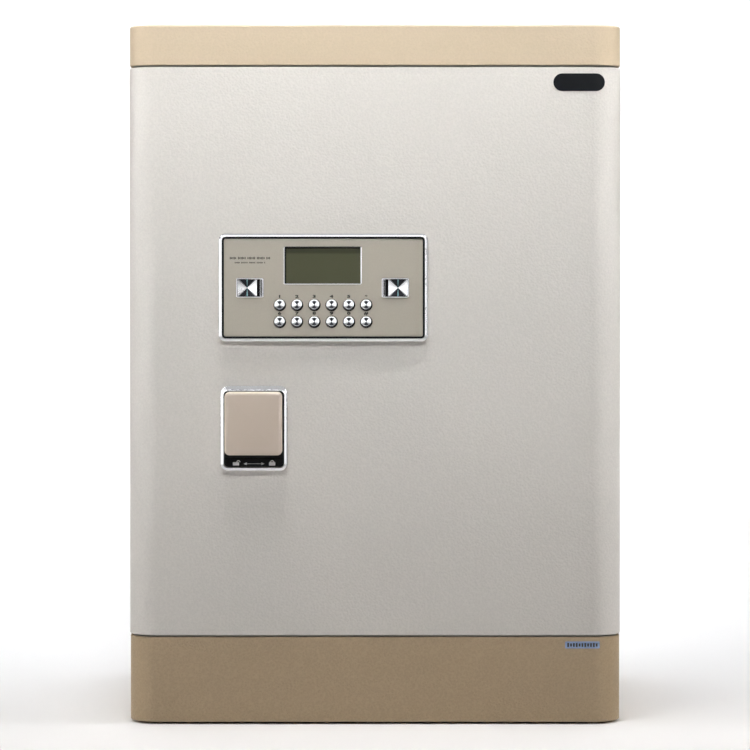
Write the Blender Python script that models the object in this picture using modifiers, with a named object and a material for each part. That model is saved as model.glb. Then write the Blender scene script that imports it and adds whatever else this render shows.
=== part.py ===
"""Floor-standing in-room safe: steel cabinet, full-width door, electronic lock, turning handle.

Frame: X to the right, -Y to the front, +Z up. The origin is on the floor, under the middle of the
object's own bounding box. Sizes below are in millimetres; the mesh helpers turn them into metres.
"""
import math

import bmesh
import bpy
from mathutils import Matrix, Vector

MM = 0.001

# ---- driving dimensions, millimetres -------------------------------------------------------------

# Outside
WIDTH = 424.0
HEIGHT = 600.0
DEPTH = 380.0                       # cabinet and door, without the handle
HANDLE_PROUD = 24.0                 # front of the handle pad to the door's front face
CAP_HEIGHT = 34.3
BASE_HEIGHT = 75.0
SEAM = 1.4                          # above and below the door
SIDE_STEP = 0.5                     # the door stands this far outside the cabinet at each side
EDGE_RADIUS = 25.0                  # upright front edges, and the hinged edge of the door
FOOT_HEIGHT = 2.0
FIT = 0.3                           # between fixed neighbours

# Sheet thicknesses
BODY_SHEET = 4.0
TRAY_SHEET = 2.5                    # skirt of the cap and of the base
PAN_SHEET = 3.0                     # top of the cap, floor of the base, shell of the door
COVER_SHEET = 1.5
FRAME_DEPTH = 6.0

# Door
DOOR_DEPTH = 50.4
DOOR_CLEARANCE = 1.6                # back of the door to the front of the cabinet
RETURN_WIDTH = 25.0                 # rear lip of the shell beside the hinge
OPENING_LEFT = -187.0
OPENING_RIGHT = 172.0
OPENING_LOW = 97.0
OPENING_HIGH = 543.0
PIN_RADIUS = 5.0                    # hinge pins, and the bushes that turn on them
BUSH_RADIUS = 8.0

# Lock box on the back of the door
BOX_LEFT = -180.0
BOX_RIGHT = 165.0
BOX_LOW = 102.0
BOX_HIGH = 538.0
BOX_DEPTH = 34.3

# Handle
HANDLE_X = -103.7
HANDLE_Z = 259.4
PAD_WIDTH = 49.1
PAD_HEIGHT = 54.0
PAD_DEPTH = 13.0
SPINDLE_RADIUS = 6.0
ESCUTCHEON_X = -103.6
ESCUTCHEON_Z = 254.4
ESCUTCHEON_WIDTH = 57.4
ESCUTCHEON_HEIGHT = 72.0
ESCUTCHEON_PROUD = 9.5
ESCUTCHEON_RIM = 2.9
BACKPLATE_PROUD = 6.0

# Keypad
PANEL_X = -44.2
PANEL_Z = 374.8
PANEL_WIDTH = 179.4
PANEL_HEIGHT = 91.8
PANEL_PROUD = 8.3
PANEL_RIM = 3.9
FASCIA_PROUD = 6.8
HOUSING_X = -44.2                   # box of the electronics, let into the door behind the panel
HOUSING_Z = 374.0
HOUSING_WIDTH = 148.8
HOUSING_HEIGHT = 73.8
HOUSING_DEPTH = 20.0
HOUSING_WALL = 1.6
BOARD_WIDTH = 103.0
BOARD_HEIGHT = 69.0
DISPLAY_WIDTH = 60.4
DISPLAY_HEIGHT = 27.8
KEY_BLOCK_X = -44.6
KEY_PITCH = 14.8
KEY_ROWS = (360.6, 346.2)
KEY_RADIUS = 5.25
KEY_PROUD = 2.5
KEY_NAMES = (("1", "2", "3", "4", "5", "star"), ("6", "7", "8", "9", "0", "hash"))
LCD_X = -44.75
LCD_Z = 394.15
LCD_WIDTH = 66.3
LCD_HEIGHT = 32.1
FLAP_LEFT_X = -107.0
FLAP_RIGHT_X = 17.4
FLAP_Z = 375.1
FLAP_WIDTH = 24.0
FLAP_HEIGHT = 17.3
FLAP_DEPTH = 1.8
BARREL_RADIUS = 7.4
BARREL_LENGTH = 39.0
PLUG_RADIUS = 5.0
PLUG_LENGTH = 33.5

# Bolt work
BOLT_RADIUS = 11.0
BOLT_LEVELS = (("bottom", 170.0), ("middle", 320.0), ("top", 470.0))
CRANK_RADIUS = 17.4                 # cam pins from the handle's axis
CRANK_SWING = math.radians(35.0)    # half of the handle's turn
CRANK_PIN = 3.0
ROD_RADIUS = 7.0
ROD_OFFSET = 16.0                   # rods from the handle's axis

FLANGE_X = -141.0                   # left face of the bolt carriage
CARRIAGE_LOW = 150.0
CARRIAGE_HIGH = 490.0
LUG_LEFT = -118.0                   # stop on the carriage that the solenoid's plunger blocks
LUG_RIGHT = -110.0
LUG_TOP = 300.0
SOLENOID_X = -124.0
SOLENOID_LOW = 314.0
SOLENOID_HIGH = 352.0
PLUNGER_RADIUS = 4.0
PLUNGER_TIP = 302.0                 # when pulled in

# Inside the cabinet
SHELF_Z = 318.0
SHELF_FRONT = -84.0
ANCHOR_X = 140.0
ANCHOR_FRONT = -60.0
ANCHOR_BACK = 120.0
ANCHOR_RADIUS = 6.0
FOOT_RADIUS = 15.0
FOOT_X = 170.0
FOOT_FRONT = -140.0
FOOT_BACK = 165.0
WALL_ANCHOR_X = 120.0
WALL_ANCHOR_Z = 440.0

# Batteries
BATTERY_LEFT = 20.0
BATTERY_WIDTH = 58.0
BATTERY_LOW = 340.0
BATTERY_HEIGHT = 64.0

# ---- places worked out from them -----------------------------------------------------------------

FRONT = HANDLE_PROUD / 2 - DEPTH / 2
BACK = FRONT + DEPTH
HALF = WIDTH / 2
CABINET_HALF = HALF - SIDE_STEP
CAP_LOW = HEIGHT - CAP_HEIGHT
DOOR_LOW = BASE_HEIGHT + SEAM
DOOR_HIGH = CAP_LOW - SEAM
DOOR_BACK = FRONT + DOOR_DEPTH
CABINET_FRONT = DOOR_BACK + DOOR_CLEARANCE
HINGE_X = HALF - EDGE_RADIUS
HINGE_Y = FRONT + EDGE_RADIUS
PLATE_FRONT = DOOR_BACK - BODY_SHEET
BOX_FRONT = DOOR_BACK + FIT
BOX_BACK = BOX_FRONT + BOX_DEPTH
MOUNT_PLANE = FRONT - FIT           # backs of the trim fixed to the door's front
FASCIA_FRONT = FRONT - FASCIA_PROUD
PAD_FRONT = FRONT - HANDLE_PROUD

# Layers of the bolt work behind the door plate, front face of each
CAM_LAYER = DOOR_BACK + 0.8
CARRIAGE_LAYER = CAM_LAYER + 4.0
ROD_LAYER = CARRIAGE_LAYER + 4.0
LAYER_SHEET = 3.0
ROD_SHEET = 5.0
BOLT_Y = BOX_FRONT + 20.3
ROD_Y = BOX_FRONT + 17.3

FINISHES = {
    # name: (red, green, blue, roughness, metallic)
    "door_paint": (0.64, 0.59, 0.53, 0.55, 0.0),
    "champagne_paint": (0.60, 0.47, 0.31, 0.50, 0.0),
    "cabinet_steel": (0.45, 0.44, 0.42, 0.45, 0.6),
    "zinc_steel": (0.62, 0.63, 0.64, 0.30, 1.0),
    "chrome": (0.86, 0.86, 0.87, 0.08, 1.0),
    "beige_plastic": (0.44, 0.37, 0.29, 0.45, 0.0),
    "black_plastic": (0.012, 0.012, 0.013, 0.25, 0.0),
    "lcd_glass": (0.10, 0.11, 0.06, 0.12, 0.0),
    "circuit_board": (0.02, 0.14, 0.06, 0.45, 0.0),
    "brass": (0.72, 0.52, 0.22, 0.28, 1.0),
    "rubber": (0.02, 0.02, 0.02, 0.85, 0.0),
    "felt": (0.10, 0.10, 0.11, 0.95, 0.0),
}
TURN = {
    "+Z": (0.0, 0.0, 0.0),
    "-Z": (math.pi, 0.0, 0.0),
    "-Y": (math.pi / 2, 0.0, 0.0),
    "+Y": (-math.pi / 2, 0.0, 0.0),
    "-X": (0.0, -math.pi / 2, 0.0),
    "+X": (0.0, math.pi / 2, 0.0),
}

for leftover in list(bpy.data.objects):
    bpy.data.objects.remove(leftover, do_unlink=True)

PARTS = bpy.data.collections.new("in_room_safe")
TOOLS = bpy.data.collections.new("safe_cutters")
for group in (PARTS, TOOLS):
    bpy.context.scene.collection.children.link(group)


# ---- helpers -------------------------------------------------------------------------------------

def finish_material(name):
    """One Principled material for each finish, made the first time it is asked for."""
    found = bpy.data.materials.get(name)
    if found:
        return found
    red, green, blue, roughness, metallic = FINISHES[name]
    made = bpy.data.materials.new(name)
    made.use_nodes = True
    shader = made.node_tree.nodes["Principled BSDF"]
    shader.inputs["Base Color"].default_value = (red, green, blue, 1.0)
    shader.inputs["Roughness"].default_value = roughness
    shader.inputs["Metallic"].default_value = metallic
    made.diffuse_color = (red, green, blue, 1.0)
    return made


def add_object(name, bm, place, turn, finish):
    """Object from a bmesh: a part with a finish, or a cutter without one."""
    mesh = bpy.data.meshes.new(name)
    bm.to_mesh(mesh)
    bm.free()
    made = bpy.data.objects.new(name, mesh)
    made.location = Vector(place) * MM
    made.rotation_euler = TURN[turn]
    if finish:
        PARTS.objects.link(made)
        mesh.materials.append(finish_material(finish))
    else:
        TOOLS.objects.link(made)
        made.hide_render = True
        made.display_type = "WIRE"
    return made


def on_sides(vertex, sides, half):
    """Whether a vertex of a centred box lies on every side named, such as '+X -Y'."""
    for side in sides.split():
        index = "XYZ".index(side[1])
        limit = half[index] if side[0] == "+" else -half[index]
        if abs(vertex.co[index] - limit) > 1e-6:
            return False
    return True


def runs_along(edge, direction):
    """Whether an edge is parallel to an axis; '*' takes any edge."""
    if direction == "*":
        return True
    line = (edge.verts[1].co - edge.verts[0].co).normalized()
    return abs(line["XYZ".index(direction)]) > 0.999


def block(name, low, high, finish=None, rounds=()):
    """Box between two corners. Each round is (edge direction, sides, radius, segments)."""
    low = Vector(low)
    high = Vector(high)
    half = (high - low) * MM / 2
    bm = bmesh.new()
    bmesh.ops.create_cube(bm, size=2.0)
    bmesh.ops.scale(bm, vec=half, verts=bm.verts)
    for direction, sides, radius, segments in rounds:
        chosen = [
            edge for edge in bm.edges
            if runs_along(edge, direction) and all(on_sides(vertex, sides, half) for vertex in edge.verts)
        ]
        bmesh.ops.bevel(
            bm, geom=chosen, offset=radius * MM, offset_type="OFFSET", segments=segments,
            profile=0.5, affect="EDGES", clamp_overlap=False,
        )
    made = add_object(name, bm, (low + high) / 2, "+Z", finish)
    made.data.set_sharp_from_angle(angle=math.radians(40))
    return made


def plate(name, centre_x, centre_z, width, height, front, back, finish=None, rounds=()):
    """Box facing the front, given by its middle, its size and its two depths."""
    low = (centre_x - width / 2, front, centre_z - height / 2)
    high = (centre_x + width / 2, back, centre_z + height / 2)
    return block(name, low, high, finish, rounds)


def cylinder(name, start, length, turn, radius, finish=None, sides=24, rim=0.0):
    """Cylinder that runs from start in the direction of turn; rim chamfers both ends."""
    bm = bmesh.new()
    bmesh.ops.create_cone(
        bm, cap_ends=True, cap_tris=False, segments=sides,
        radius1=radius * MM, radius2=radius * MM, depth=length * MM,
        matrix=Matrix.Translation((0.0, 0.0, length * MM / 2)),
    )
    if rim:
        ends = [edge for edge in bm.edges if abs(edge.verts[0].co.z - edge.verts[1].co.z) < 1e-6]
        bmesh.ops.bevel(bm, geom=ends, offset=rim * MM, segments=1, affect="EDGES")
    made = add_object(name, bm, start, turn, finish)
    made.data.shade_smooth()
    made.data.set_sharp_from_angle(angle=math.radians(40))
    return made


def turned(name, profile, place, turn, finish, sides=20, ring=False):
    """Turned piece from (radius, height) points that run down its outer side."""
    bm = bmesh.new()
    points = [bm.verts.new((radius * MM, 0.0, height * MM)) for radius, height in profile]
    for first, second in zip(points, points[1:]):
        bm.edges.new((first, second))
    if ring:
        bm.edges.new((points[-1], points[0]))
    made = add_object(name, bm, place, turn, finish)
    screw = made.modifiers.new("turn", "SCREW")
    screw.axis = "Z"
    screw.steps = sides
    screw.render_steps = sides
    screw.use_merge_vertices = True
    screw.merge_threshold = 0.00002
    return made


def attach(child, parent):
    """Parent an object and keep its place."""
    bpy.context.view_layer.update()
    child.parent = parent
    child.matrix_parent_inverse = parent.matrix_world.inverted()


def shape(piece, operation, *tools):
    """Boolean the tools into a piece, which then carries them along."""
    for tool in tools:
        attach(tool, piece)
        step = piece.modifiers.new(tool.name, "BOOLEAN")
        step.operation = operation
        step.object = tool
        step.solver = "EXACT"
    return piece


def joint_empty(name, place, parent=None):
    """Empty on a joint's axis, which carries the pieces of one body."""
    made = bpy.data.objects.new(name, None)
    PARTS.objects.link(made)
    made.location = Vector(place) * MM
    made.empty_display_size = 0.03
    if parent:
        attach(made, parent)
    return made


# ---- cabinet, fixed ------------------------------------------------------------------------------

def anchor_cutters(owner, low, length, radius):
    """Four upright bores through the floor of the safe."""
    return [
        cylinder(f"{owner}_anchor_{side}{row}", (side * ANCHOR_X, depth, low), length, "+Z", radius, None, 16)
        for side in (-1, 1)
        for row, depth in enumerate((ANCHOR_FRONT, ANCHOR_BACK))
    ]


def make_base():
    outer = (
        ("Z", "-Y", EDGE_RADIUS - SIDE_STEP, 7),
        ("Z", "+Y", 3.0, 2),
        ("*", "-Z", 1.0, 1),
        ("*", "+Z", 0.8, 1),
    )
    inner = (("Z", "-Y", EDGE_RADIUS - SIDE_STEP - TRAY_SHEET, 7),)
    plinth = block(
        "base_plinth", (-CABINET_HALF, FRONT, FOOT_HEIGHT), (CABINET_HALF, BACK, BASE_HEIGHT),
        "champagne_paint", outer,
    )
    inside = CABINET_HALF - TRAY_SHEET
    hollow = block(
        "base_hollow", (-inside, FRONT + TRAY_SHEET, FOOT_HEIGHT + PAN_SHEET),
        (inside, BACK - TRAY_SHEET, BASE_HEIGHT + 5.0), None, inner,
    )
    shape(plinth, "DIFFERENCE", hollow, *anchor_cutters("base", 0.0, 10.0, ANCHOR_RADIUS + 1.0))

    for side_name, side in (("left", -1), ("right", 1)):
        for row_name, depth in (("front", FOOT_FRONT), ("rear", FOOT_BACK)):
            cylinder(
                f"foot_{row_name}_{side_name}", (side * FOOT_X, depth, 0.0), FOOT_HEIGHT - FIT, "+Z",
                FOOT_RADIUS, "rubber", 24,
            )


def make_plates():
    inset = TRAY_SHEET + FIT
    edge = CABINET_HALF - inset
    corner = (("Z", "-Y", EDGE_RADIUS - SIDE_STEP - inset, 7),)
    for name, low in (("bottom_plate", BASE_HEIGHT - BODY_SHEET), ("top_plate", CAP_LOW)):
        sheet = block(
            name, (-edge, FRONT + inset, low), (edge, BACK - inset, low + BODY_SHEET),
            "cabinet_steel", corner,
        )
        pin_bore = cylinder(
            f"{name}_pin_bore", (HINGE_X, HINGE_Y, low - 3.0), 10.0, "+Z", PIN_RADIUS + FIT, None, 16,
        )
        shape(sheet, "DIFFERENCE", pin_bore)
        if name == "bottom_plate":
            shape(sheet, "DIFFERENCE", *anchor_cutters("bottom", low - 3.0, 10.0, ANCHOR_RADIUS))


def make_cap():
    outer = (
        ("Z", "-Y", EDGE_RADIUS - SIDE_STEP, 7),
        ("Z", "+Y", 3.0, 2),
        ("*", "+Z", 1.5, 2),
        ("*", "-Z", 0.8, 1),
    )
    inner = (("Z", "-Y", EDGE_RADIUS - SIDE_STEP - TRAY_SHEET, 7),)
    cap = block(
        "top_cap", (-CABINET_HALF, FRONT, CAP_LOW), (CABINET_HALF, BACK, HEIGHT), "champagne_paint", outer,
    )
    inside = CABINET_HALF - TRAY_SHEET
    hollow = block(
        "cap_hollow", (-inside, FRONT + TRAY_SHEET, CAP_LOW - 5.0),
        (inside, BACK - TRAY_SHEET, HEIGHT - PAN_SHEET), None, inner,
    )
    shape(cap, "DIFFERENCE", hollow)


def make_walls():
    low = BASE_HEIGHT + FIT
    high = CAP_LOW - FIT
    inner = CABINET_HALF - BODY_SHEET
    back_face = BACK - BODY_SHEET
    for name, side in (("wall_left", -1), ("wall_right", 1)):
        first, second = sorted((side * inner, side * CABINET_HALF))
        block(name, (first, CABINET_FRONT, low), (second, back_face - FIT, high), "door_paint")
    rear = block(
        "wall_back", (-CABINET_HALF, back_face, low), (CABINET_HALF, BACK, high), "door_paint",
        (("Z", "+Y", 3.0, 2),),
    )
    bores = [
        cylinder(
            f"wall_anchor_{side}", (side * WALL_ANCHOR_X, back_face - 3.0, WALL_ANCHOR_Z), 10.0, "+Y",
            ANCHOR_RADIUS,
        )
        for side in (-1, 1)
    ]
    shape(rear, "DIFFERENCE", *bores)

    frame = block(
        "door_frame", (-inner + FIT, CABINET_FRONT, low), (inner - FIT, CABINET_FRONT + FRAME_DEPTH, high),
        "door_paint",
    )
    opening = block(
        "frame_opening", (OPENING_LEFT, CABINET_FRONT - 5.0, OPENING_LOW),
        (OPENING_RIGHT, CABINET_FRONT + FRAME_DEPTH + 5.0, OPENING_HIGH), None, (("Y", "", 5.0, 3),),
    )
    shape(frame, "DIFFERENCE", opening)


def make_inside():
    inner = CABINET_HALF - BODY_SHEET
    frame_back = CABINET_FRONT + FRAME_DEPTH
    mat = block(
        "floor_mat", (-inner + 2.5, frame_back + 4.0, BASE_HEIGHT + FIT),
        (inner - 2.5, BACK - BODY_SHEET - 4.0, BASE_HEIGHT + 3.0), "felt", (("Z", "", 4.0, 2),),
    )
    shape(mat, "DIFFERENCE", *anchor_cutters("mat", BASE_HEIGHT - 3.0, 12.0, ANCHOR_RADIUS + 4.0))

    shelf_back = BACK - BODY_SHEET - 2.0
    rail_width = 14.0
    rail_height = 14.0
    rail_sheet = 1.7
    shelf = block(
        "shelf", (-inner + 2.5, SHELF_FRONT, SHELF_Z), (inner - 2.5, shelf_back, SHELF_Z + COVER_SHEET),
        "cabinet_steel",
    )
    lip = block(
        "shelf_lip", (-inner + rail_width + 4.0, SHELF_FRONT, SHELF_Z - 12.0),
        (inner - rail_width - 4.0, SHELF_FRONT + COVER_SHEET, SHELF_Z + COVER_SHEET / 2),
    )
    shape(shelf, "UNION", lip)
    for name, side in (("shelf_rail_left", -1), ("shelf_rail_right", 1)):
        wall = side * (inner - FIT)
        edge = side * (inner - FIT - rail_width)
        relief = side * (inner - FIT - rail_sheet)
        rail = block(
            name, (min(wall, edge), SHELF_FRONT + 4.0, SHELF_Z - FIT - rail_height),
            (max(wall, edge), shelf_back - 4.0, SHELF_Z - FIT), "cabinet_steel",
        )
        far = side * (inner - FIT - rail_width - 5.0)
        hollow = block(
            f"{name}_relief", (min(relief, far), SHELF_FRONT, SHELF_Z - FIT - rail_height - 5.0),
            (max(relief, far), shelf_back, SHELF_Z - FIT - rail_sheet),
        )
        shape(rail, "DIFFERENCE", hollow)


def make_hinges(door):
    """Pins stand on the bottom plate and hang from the top plate; bushes turn on them in the door."""
    neck = PIN_RADIUS - 0.8
    head = PIN_RADIUS + 4.0
    pin = (
        (0.0, 18.0), (neck, 18.0), (PIN_RADIUS, 17.2), (PIN_RADIUS, -4.3), (head, -4.3), (head, -6.3),
        (0.0, -6.3),
    )
    bore = PIN_RADIUS + FIT
    flange = BUSH_RADIUS + 3.0
    bush = (
        (bore, 21.8), (BUSH_RADIUS, 21.8), (BUSH_RADIUS, 6.7), (flange, 6.7), (flange, 4.7),
        (BUSH_RADIUS, 4.7), (BUSH_RADIUS, 1.8), (bore, 1.8),
    )
    for name, level, turn in (("bottom", BASE_HEIGHT, "+Z"), ("top", CAP_LOW, "-Z")):
        place = (HINGE_X, HINGE_Y, level)
        turned(f"hinge_pin_{name}", pin, place, turn, "zinc_steel", 16)
        sleeve = turned(f"hinge_bush_{name}", bush, place, turn, "brass", 16, ring=True)
        attach(sleeve, door)


# ---- door ----------------------------------------------------------------------------------------

def make_door_shell(door):
    sheet = PAN_SHEET
    outer = (
        ("Z", "-Y", EDGE_RADIUS, 8),
        ("Z", "+X +Y", EDGE_RADIUS, 8),
        ("Z", "-X +Y", 2.0, 2),
        ("*", "+Z", 1.2, 2),
        ("*", "-Z", 1.2, 2),
    )
    shell = block("door_skin", (-HALF, FRONT, DOOR_LOW), (HALF, DOOR_BACK, DOOR_HIGH), "door_paint", outer)
    inner_low = DOOR_LOW + sheet
    inner_high = DOOR_HIGH - sheet
    inner_radius = EDGE_RADIUS - sheet
    lip_edge = HINGE_X - RETURN_WIDTH
    wide = block(
        "skin_hollow", (-HALF + sheet, FRONT + sheet, inner_low), (lip_edge, DOOR_BACK + 5.0, inner_high),
        None, (("Z", "-X -Y", inner_radius, 8),),
    )
    deep = block(
        "skin_hinge_hollow", (lip_edge - 5.0, FRONT + sheet, inner_low),
        (HALF - sheet, DOOR_BACK - sheet, inner_high), None, (("Z", "+X", inner_radius - 0.1, 8),),
    )
    window = plate(
        "skin_keypad_window", HOUSING_X, HOUSING_Z, HOUSING_WIDTH + 4 * FIT, HOUSING_HEIGHT + 4 * FIT,
        FRONT - 5.0, FRONT + 8.0,
    )
    spindle_bore = cylinder("skin_spindle_bore", (HANDLE_X, FRONT - 5.0, HANDLE_Z), 15.0, "+Y", 8.0)
    bush_bores = [
        cylinder(
            f"skin_bush_bore_{name}", (HINGE_X, HINGE_Y, level - 5.0), 10.0, "+Z", BUSH_RADIUS + FIT,
            None, 20,
        )
        for name, level in (("bottom", DOOR_LOW + 1.0), ("top", DOOR_HIGH - 1.0))
    ]
    shape(shell, "DIFFERENCE", wide, deep, window, spindle_bore, *bush_bores)

    rear = block(
        "door_plate", (-HALF + sheet + FIT, PLATE_FRONT, inner_low + FIT),
        (lip_edge - FIT, DOOR_BACK, inner_high - FIT), "door_paint",
    )
    plate_bore = cylinder("plate_spindle_bore", (HANDLE_X, PLATE_FRONT - 5.0, HANDLE_Z), 15.0, "+Y", 8.0)
    shape(rear, "DIFFERENCE", plate_bore)

    for piece in (shell, rear):
        attach(piece, door)


def make_lock_box(door):
    rounds = (("Y", "", 4.0, 3), ("*", "+Y", 2.0, 2))
    cover = block(
        "inner_cover", (BOX_LEFT, BOX_FRONT, BOX_LOW), (BOX_RIGHT, BOX_BACK, BOX_HIGH), "door_paint", rounds,
    )
    hollow = block(
        "cover_hollow", (BOX_LEFT + COVER_SHEET, BOX_FRONT - 5.0, BOX_LOW + COVER_SHEET),
        (BOX_RIGHT - COVER_SHEET, BOX_BACK - COVER_SHEET, BOX_HIGH - COVER_SHEET), None,
        (("Y", "", 2.5, 3),),
    )
    bolt_bores = [
        cylinder(f"cover_bolt_bore_{name}", (BOX_LEFT - 5.0, BOLT_Y, level), 10.0, "+X", BOLT_RADIUS + 0.5)
        for name, level in BOLT_LEVELS
    ]
    rod_bores = [
        cylinder(f"cover_rod_bore_{name}", (HANDLE_X + offset, ROD_Y, low), 10.0, "+Z", ROD_RADIUS + 0.5)
        for name, offset, low in (("top", ROD_OFFSET, BOX_HIGH - 6.0), ("bottom", -ROD_OFFSET, BOX_LOW - 4.0))
    ]
    wall = 1.5
    battery_mouth = block(
        "cover_battery_mouth", (BATTERY_LEFT + wall, BOX_BACK - 5.0, BATTERY_LOW + wall),
        (BATTERY_LEFT + BATTERY_WIDTH - wall, BOX_BACK + 5.0, BATTERY_LOW + BATTERY_HEIGHT - wall),
    )
    shape(cover, "DIFFERENCE", hollow, *bolt_bores, *rod_bores, battery_mouth)

    tray_front = BOX_FRONT + FIT
    tray = block(
        "battery_box", (BATTERY_LEFT, tray_front, BATTERY_LOW),
        (BATTERY_LEFT + BATTERY_WIDTH, BOX_BACK - COVER_SHEET - FIT, BATTERY_LOW + BATTERY_HEIGHT),
        "black_plastic",
    )
    tray_hollow = block(
        "battery_hollow", (BATTERY_LEFT + wall, tray_front + wall, BATTERY_LOW + wall),
        (BATTERY_LEFT + BATTERY_WIDTH - wall, BOX_BACK + 5.0, BATTERY_LOW + BATTERY_HEIGHT - wall),
    )
    shape(tray, "DIFFERENCE", tray_hollow)
    for piece in (cover, tray):
        attach(piece, door)


def make_battery_cover(door):
    lap = 3.0
    gap = 0.8
    thickness = 2.0
    low = BATTERY_LOW - lap
    axis_z = low + thickness / 2
    axis_y = BOX_BACK + gap + thickness / 2
    hinge = joint_empty("battery_cover_axis", (BATTERY_LEFT + BATTERY_WIDTH / 2, axis_y, axis_z), door)
    lid = block(
        "battery_cover", (BATTERY_LEFT - lap, BOX_BACK + gap, low),
        (BATTERY_LEFT + BATTERY_WIDTH + lap, BOX_BACK + gap + thickness, BATTERY_LOW + BATTERY_HEIGHT + lap),
        "black_plastic", (("Y", "", 2.0, 2), ("*", "+Y", 0.6, 1)),
    )
    attach(lid, hinge)


def make_solenoid(door):
    """The plunger drops in front of the carriage's lug; it is shown pulled in."""
    centre_y = DOOR_BACK + 8.6
    reach = 5.0
    body = block(
        "solenoid_body", (SOLENOID_X - 13.0, DOOR_BACK + 0.4, SOLENOID_LOW),
        (SOLENOID_X + 13.0, DOOR_BACK + 20.6, SOLENOID_HIGH), "zinc_steel", (("Z", "", 2.0, 2),),
    )
    bore = cylinder(
        "solenoid_bore", (SOLENOID_X, centre_y, SOLENOID_LOW - reach),
        SOLENOID_HIGH - SOLENOID_LOW, "+Z", PLUNGER_RADIUS + FIT, None, 20,
    )
    shape(body, "DIFFERENCE", bore)
    attach(body, door)

    slide = joint_empty("solenoid_axis", (SOLENOID_X, centre_y, PLUNGER_TIP), door)
    length = 40.0
    profile = (
        (0.0, length), (PLUNGER_RADIUS - 0.6, length), (PLUNGER_RADIUS, length - 0.6), (PLUNGER_RADIUS, 2.5),
        (PLUNGER_RADIUS + 1.5, 2.5), (PLUNGER_RADIUS + 1.5, 0.0), (0.0, 0.0),
    )
    plunger = turned("solenoid_plunger", profile, (SOLENOID_X, centre_y, PLUNGER_TIP), "+Z", "zinc_steel", 16)
    attach(plunger, slide)


# ---- handle and bolt work ------------------------------------------------------------------------

def crank_pin(angle, end, name):
    """Cam pin at an angle from straight up, clockwise as seen from the front."""
    start = CAM_LAYER + LAYER_SHEET / 2
    place_x = HANDLE_X + CRANK_RADIUS * math.sin(angle)
    place_z = HANDLE_Z + CRANK_RADIUS * math.cos(angle)
    return cylinder(name, (place_x, start, place_z), end - start, "+Y", CRANK_PIN, None, 16)


def make_handle(door):
    axis = joint_empty("handle_axis", (HANDLE_X, PAD_FRONT, HANDLE_Z), door)
    pad = plate(
        "handle_pad", HANDLE_X, HANDLE_Z, PAD_WIDTH, PAD_HEIGHT, PAD_FRONT, PAD_FRONT + PAD_DEPTH,
        "beige_plastic", (("Y", "", 3.5, 3), ("*", "-Y", 2.6, 3)),
    )
    shaft_start = PAD_FRONT + PAD_DEPTH + FIT
    cam = cylinder(
        "cam_spindle", (HANDLE_X, shaft_start, HANDLE_Z), CAM_LAYER + 1.0 - shaft_start, "+Y", SPINDLE_RADIUS,
        "zinc_steel", 24,
    )
    disc = cylinder("cam_disc_form", (HANDLE_X, CAM_LAYER, HANDLE_Z), LAYER_SHEET, "+Y", 24.0, None, 32)
    quarter = math.pi / 2
    pins = (
        crank_pin(CRANK_SWING, CARRIAGE_LAYER + LAYER_SHEET + 0.5, "cam_pin_bolts"),
        crank_pin(CRANK_SWING + quarter, ROD_LAYER + ROD_SHEET + 0.5, "cam_pin_top_rod"),
        crank_pin(CRANK_SWING - quarter, ROD_LAYER + ROD_SHEET + 0.5, "cam_pin_bottom_rod"),
    )
    shape(cam, "UNION", disc, *pins)
    for piece in (pad, cam):
        attach(piece, axis)


def make_bolts(door):
    """Carriage with an arm on the cam's pin, a lug for the solenoid, and three bolts through the box."""
    sheet = 3.0
    play = 0.5
    pin_x = HANDLE_X + CRANK_RADIUS * math.sin(CRANK_SWING)
    pin_low = HANDLE_Z + CRANK_RADIUS * math.cos(CRANK_SWING)
    pin_high = HANDLE_Z + CRANK_RADIUS
    layer_back = CARRIAGE_LAYER + LAYER_SHEET
    slide = joint_empty("bolt_axis", (FLANGE_X, BOLT_Y, HANDLE_Z), door)
    carriage = block(
        "bolt_carriage", (FLANGE_X, CARRIAGE_LAYER, CARRIAGE_LOW),
        (FLANGE_X + sheet, BOLT_Y + 9.0, CARRIAGE_HIGH), "zinc_steel",
    )
    arm_right = pin_x + CRANK_PIN + 4.7
    arm = block(
        "carriage_arm", (FLANGE_X + 1.0, CARRIAGE_LAYER, pin_high), (arm_right, layer_back, pin_high + 15.0),
    )
    ear = block(
        "carriage_ear", (pin_x - CRANK_PIN - 3.4, CARRIAGE_LAYER, pin_low - 6.3),
        (arm_right, layer_back, pin_high + 1.0),
    )
    lug = block(
        "carriage_lug", (LUG_LEFT, CARRIAGE_LAYER, pin_high + 13.0), (LUG_RIGHT, layer_back, LUG_TOP),
    )
    slot = block(
        "carriage_slot",
        (pin_x - CRANK_PIN - play, CARRIAGE_LAYER - 5.0, pin_low - CRANK_PIN - 0.9),
        (pin_x + CRANK_PIN + play, layer_back + 5.0, pin_high + CRANK_PIN + 1.0),
    )
    shape(carriage, "UNION", arm, ear, lug)
    shape(carriage, "DIFFERENCE", slot)
    attach(carriage, slide)

    bolt_tip = BOX_LEFT + 2.0
    for name, level in BOLT_LEVELS:
        bolt = cylinder(
            f"bolt_{name}", (bolt_tip, BOLT_Y, level), FLANGE_X - FIT - bolt_tip, "+X", BOLT_RADIUS,
            "zinc_steel", 24, 1.2,
        )
        attach(bolt, slide)


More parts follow.
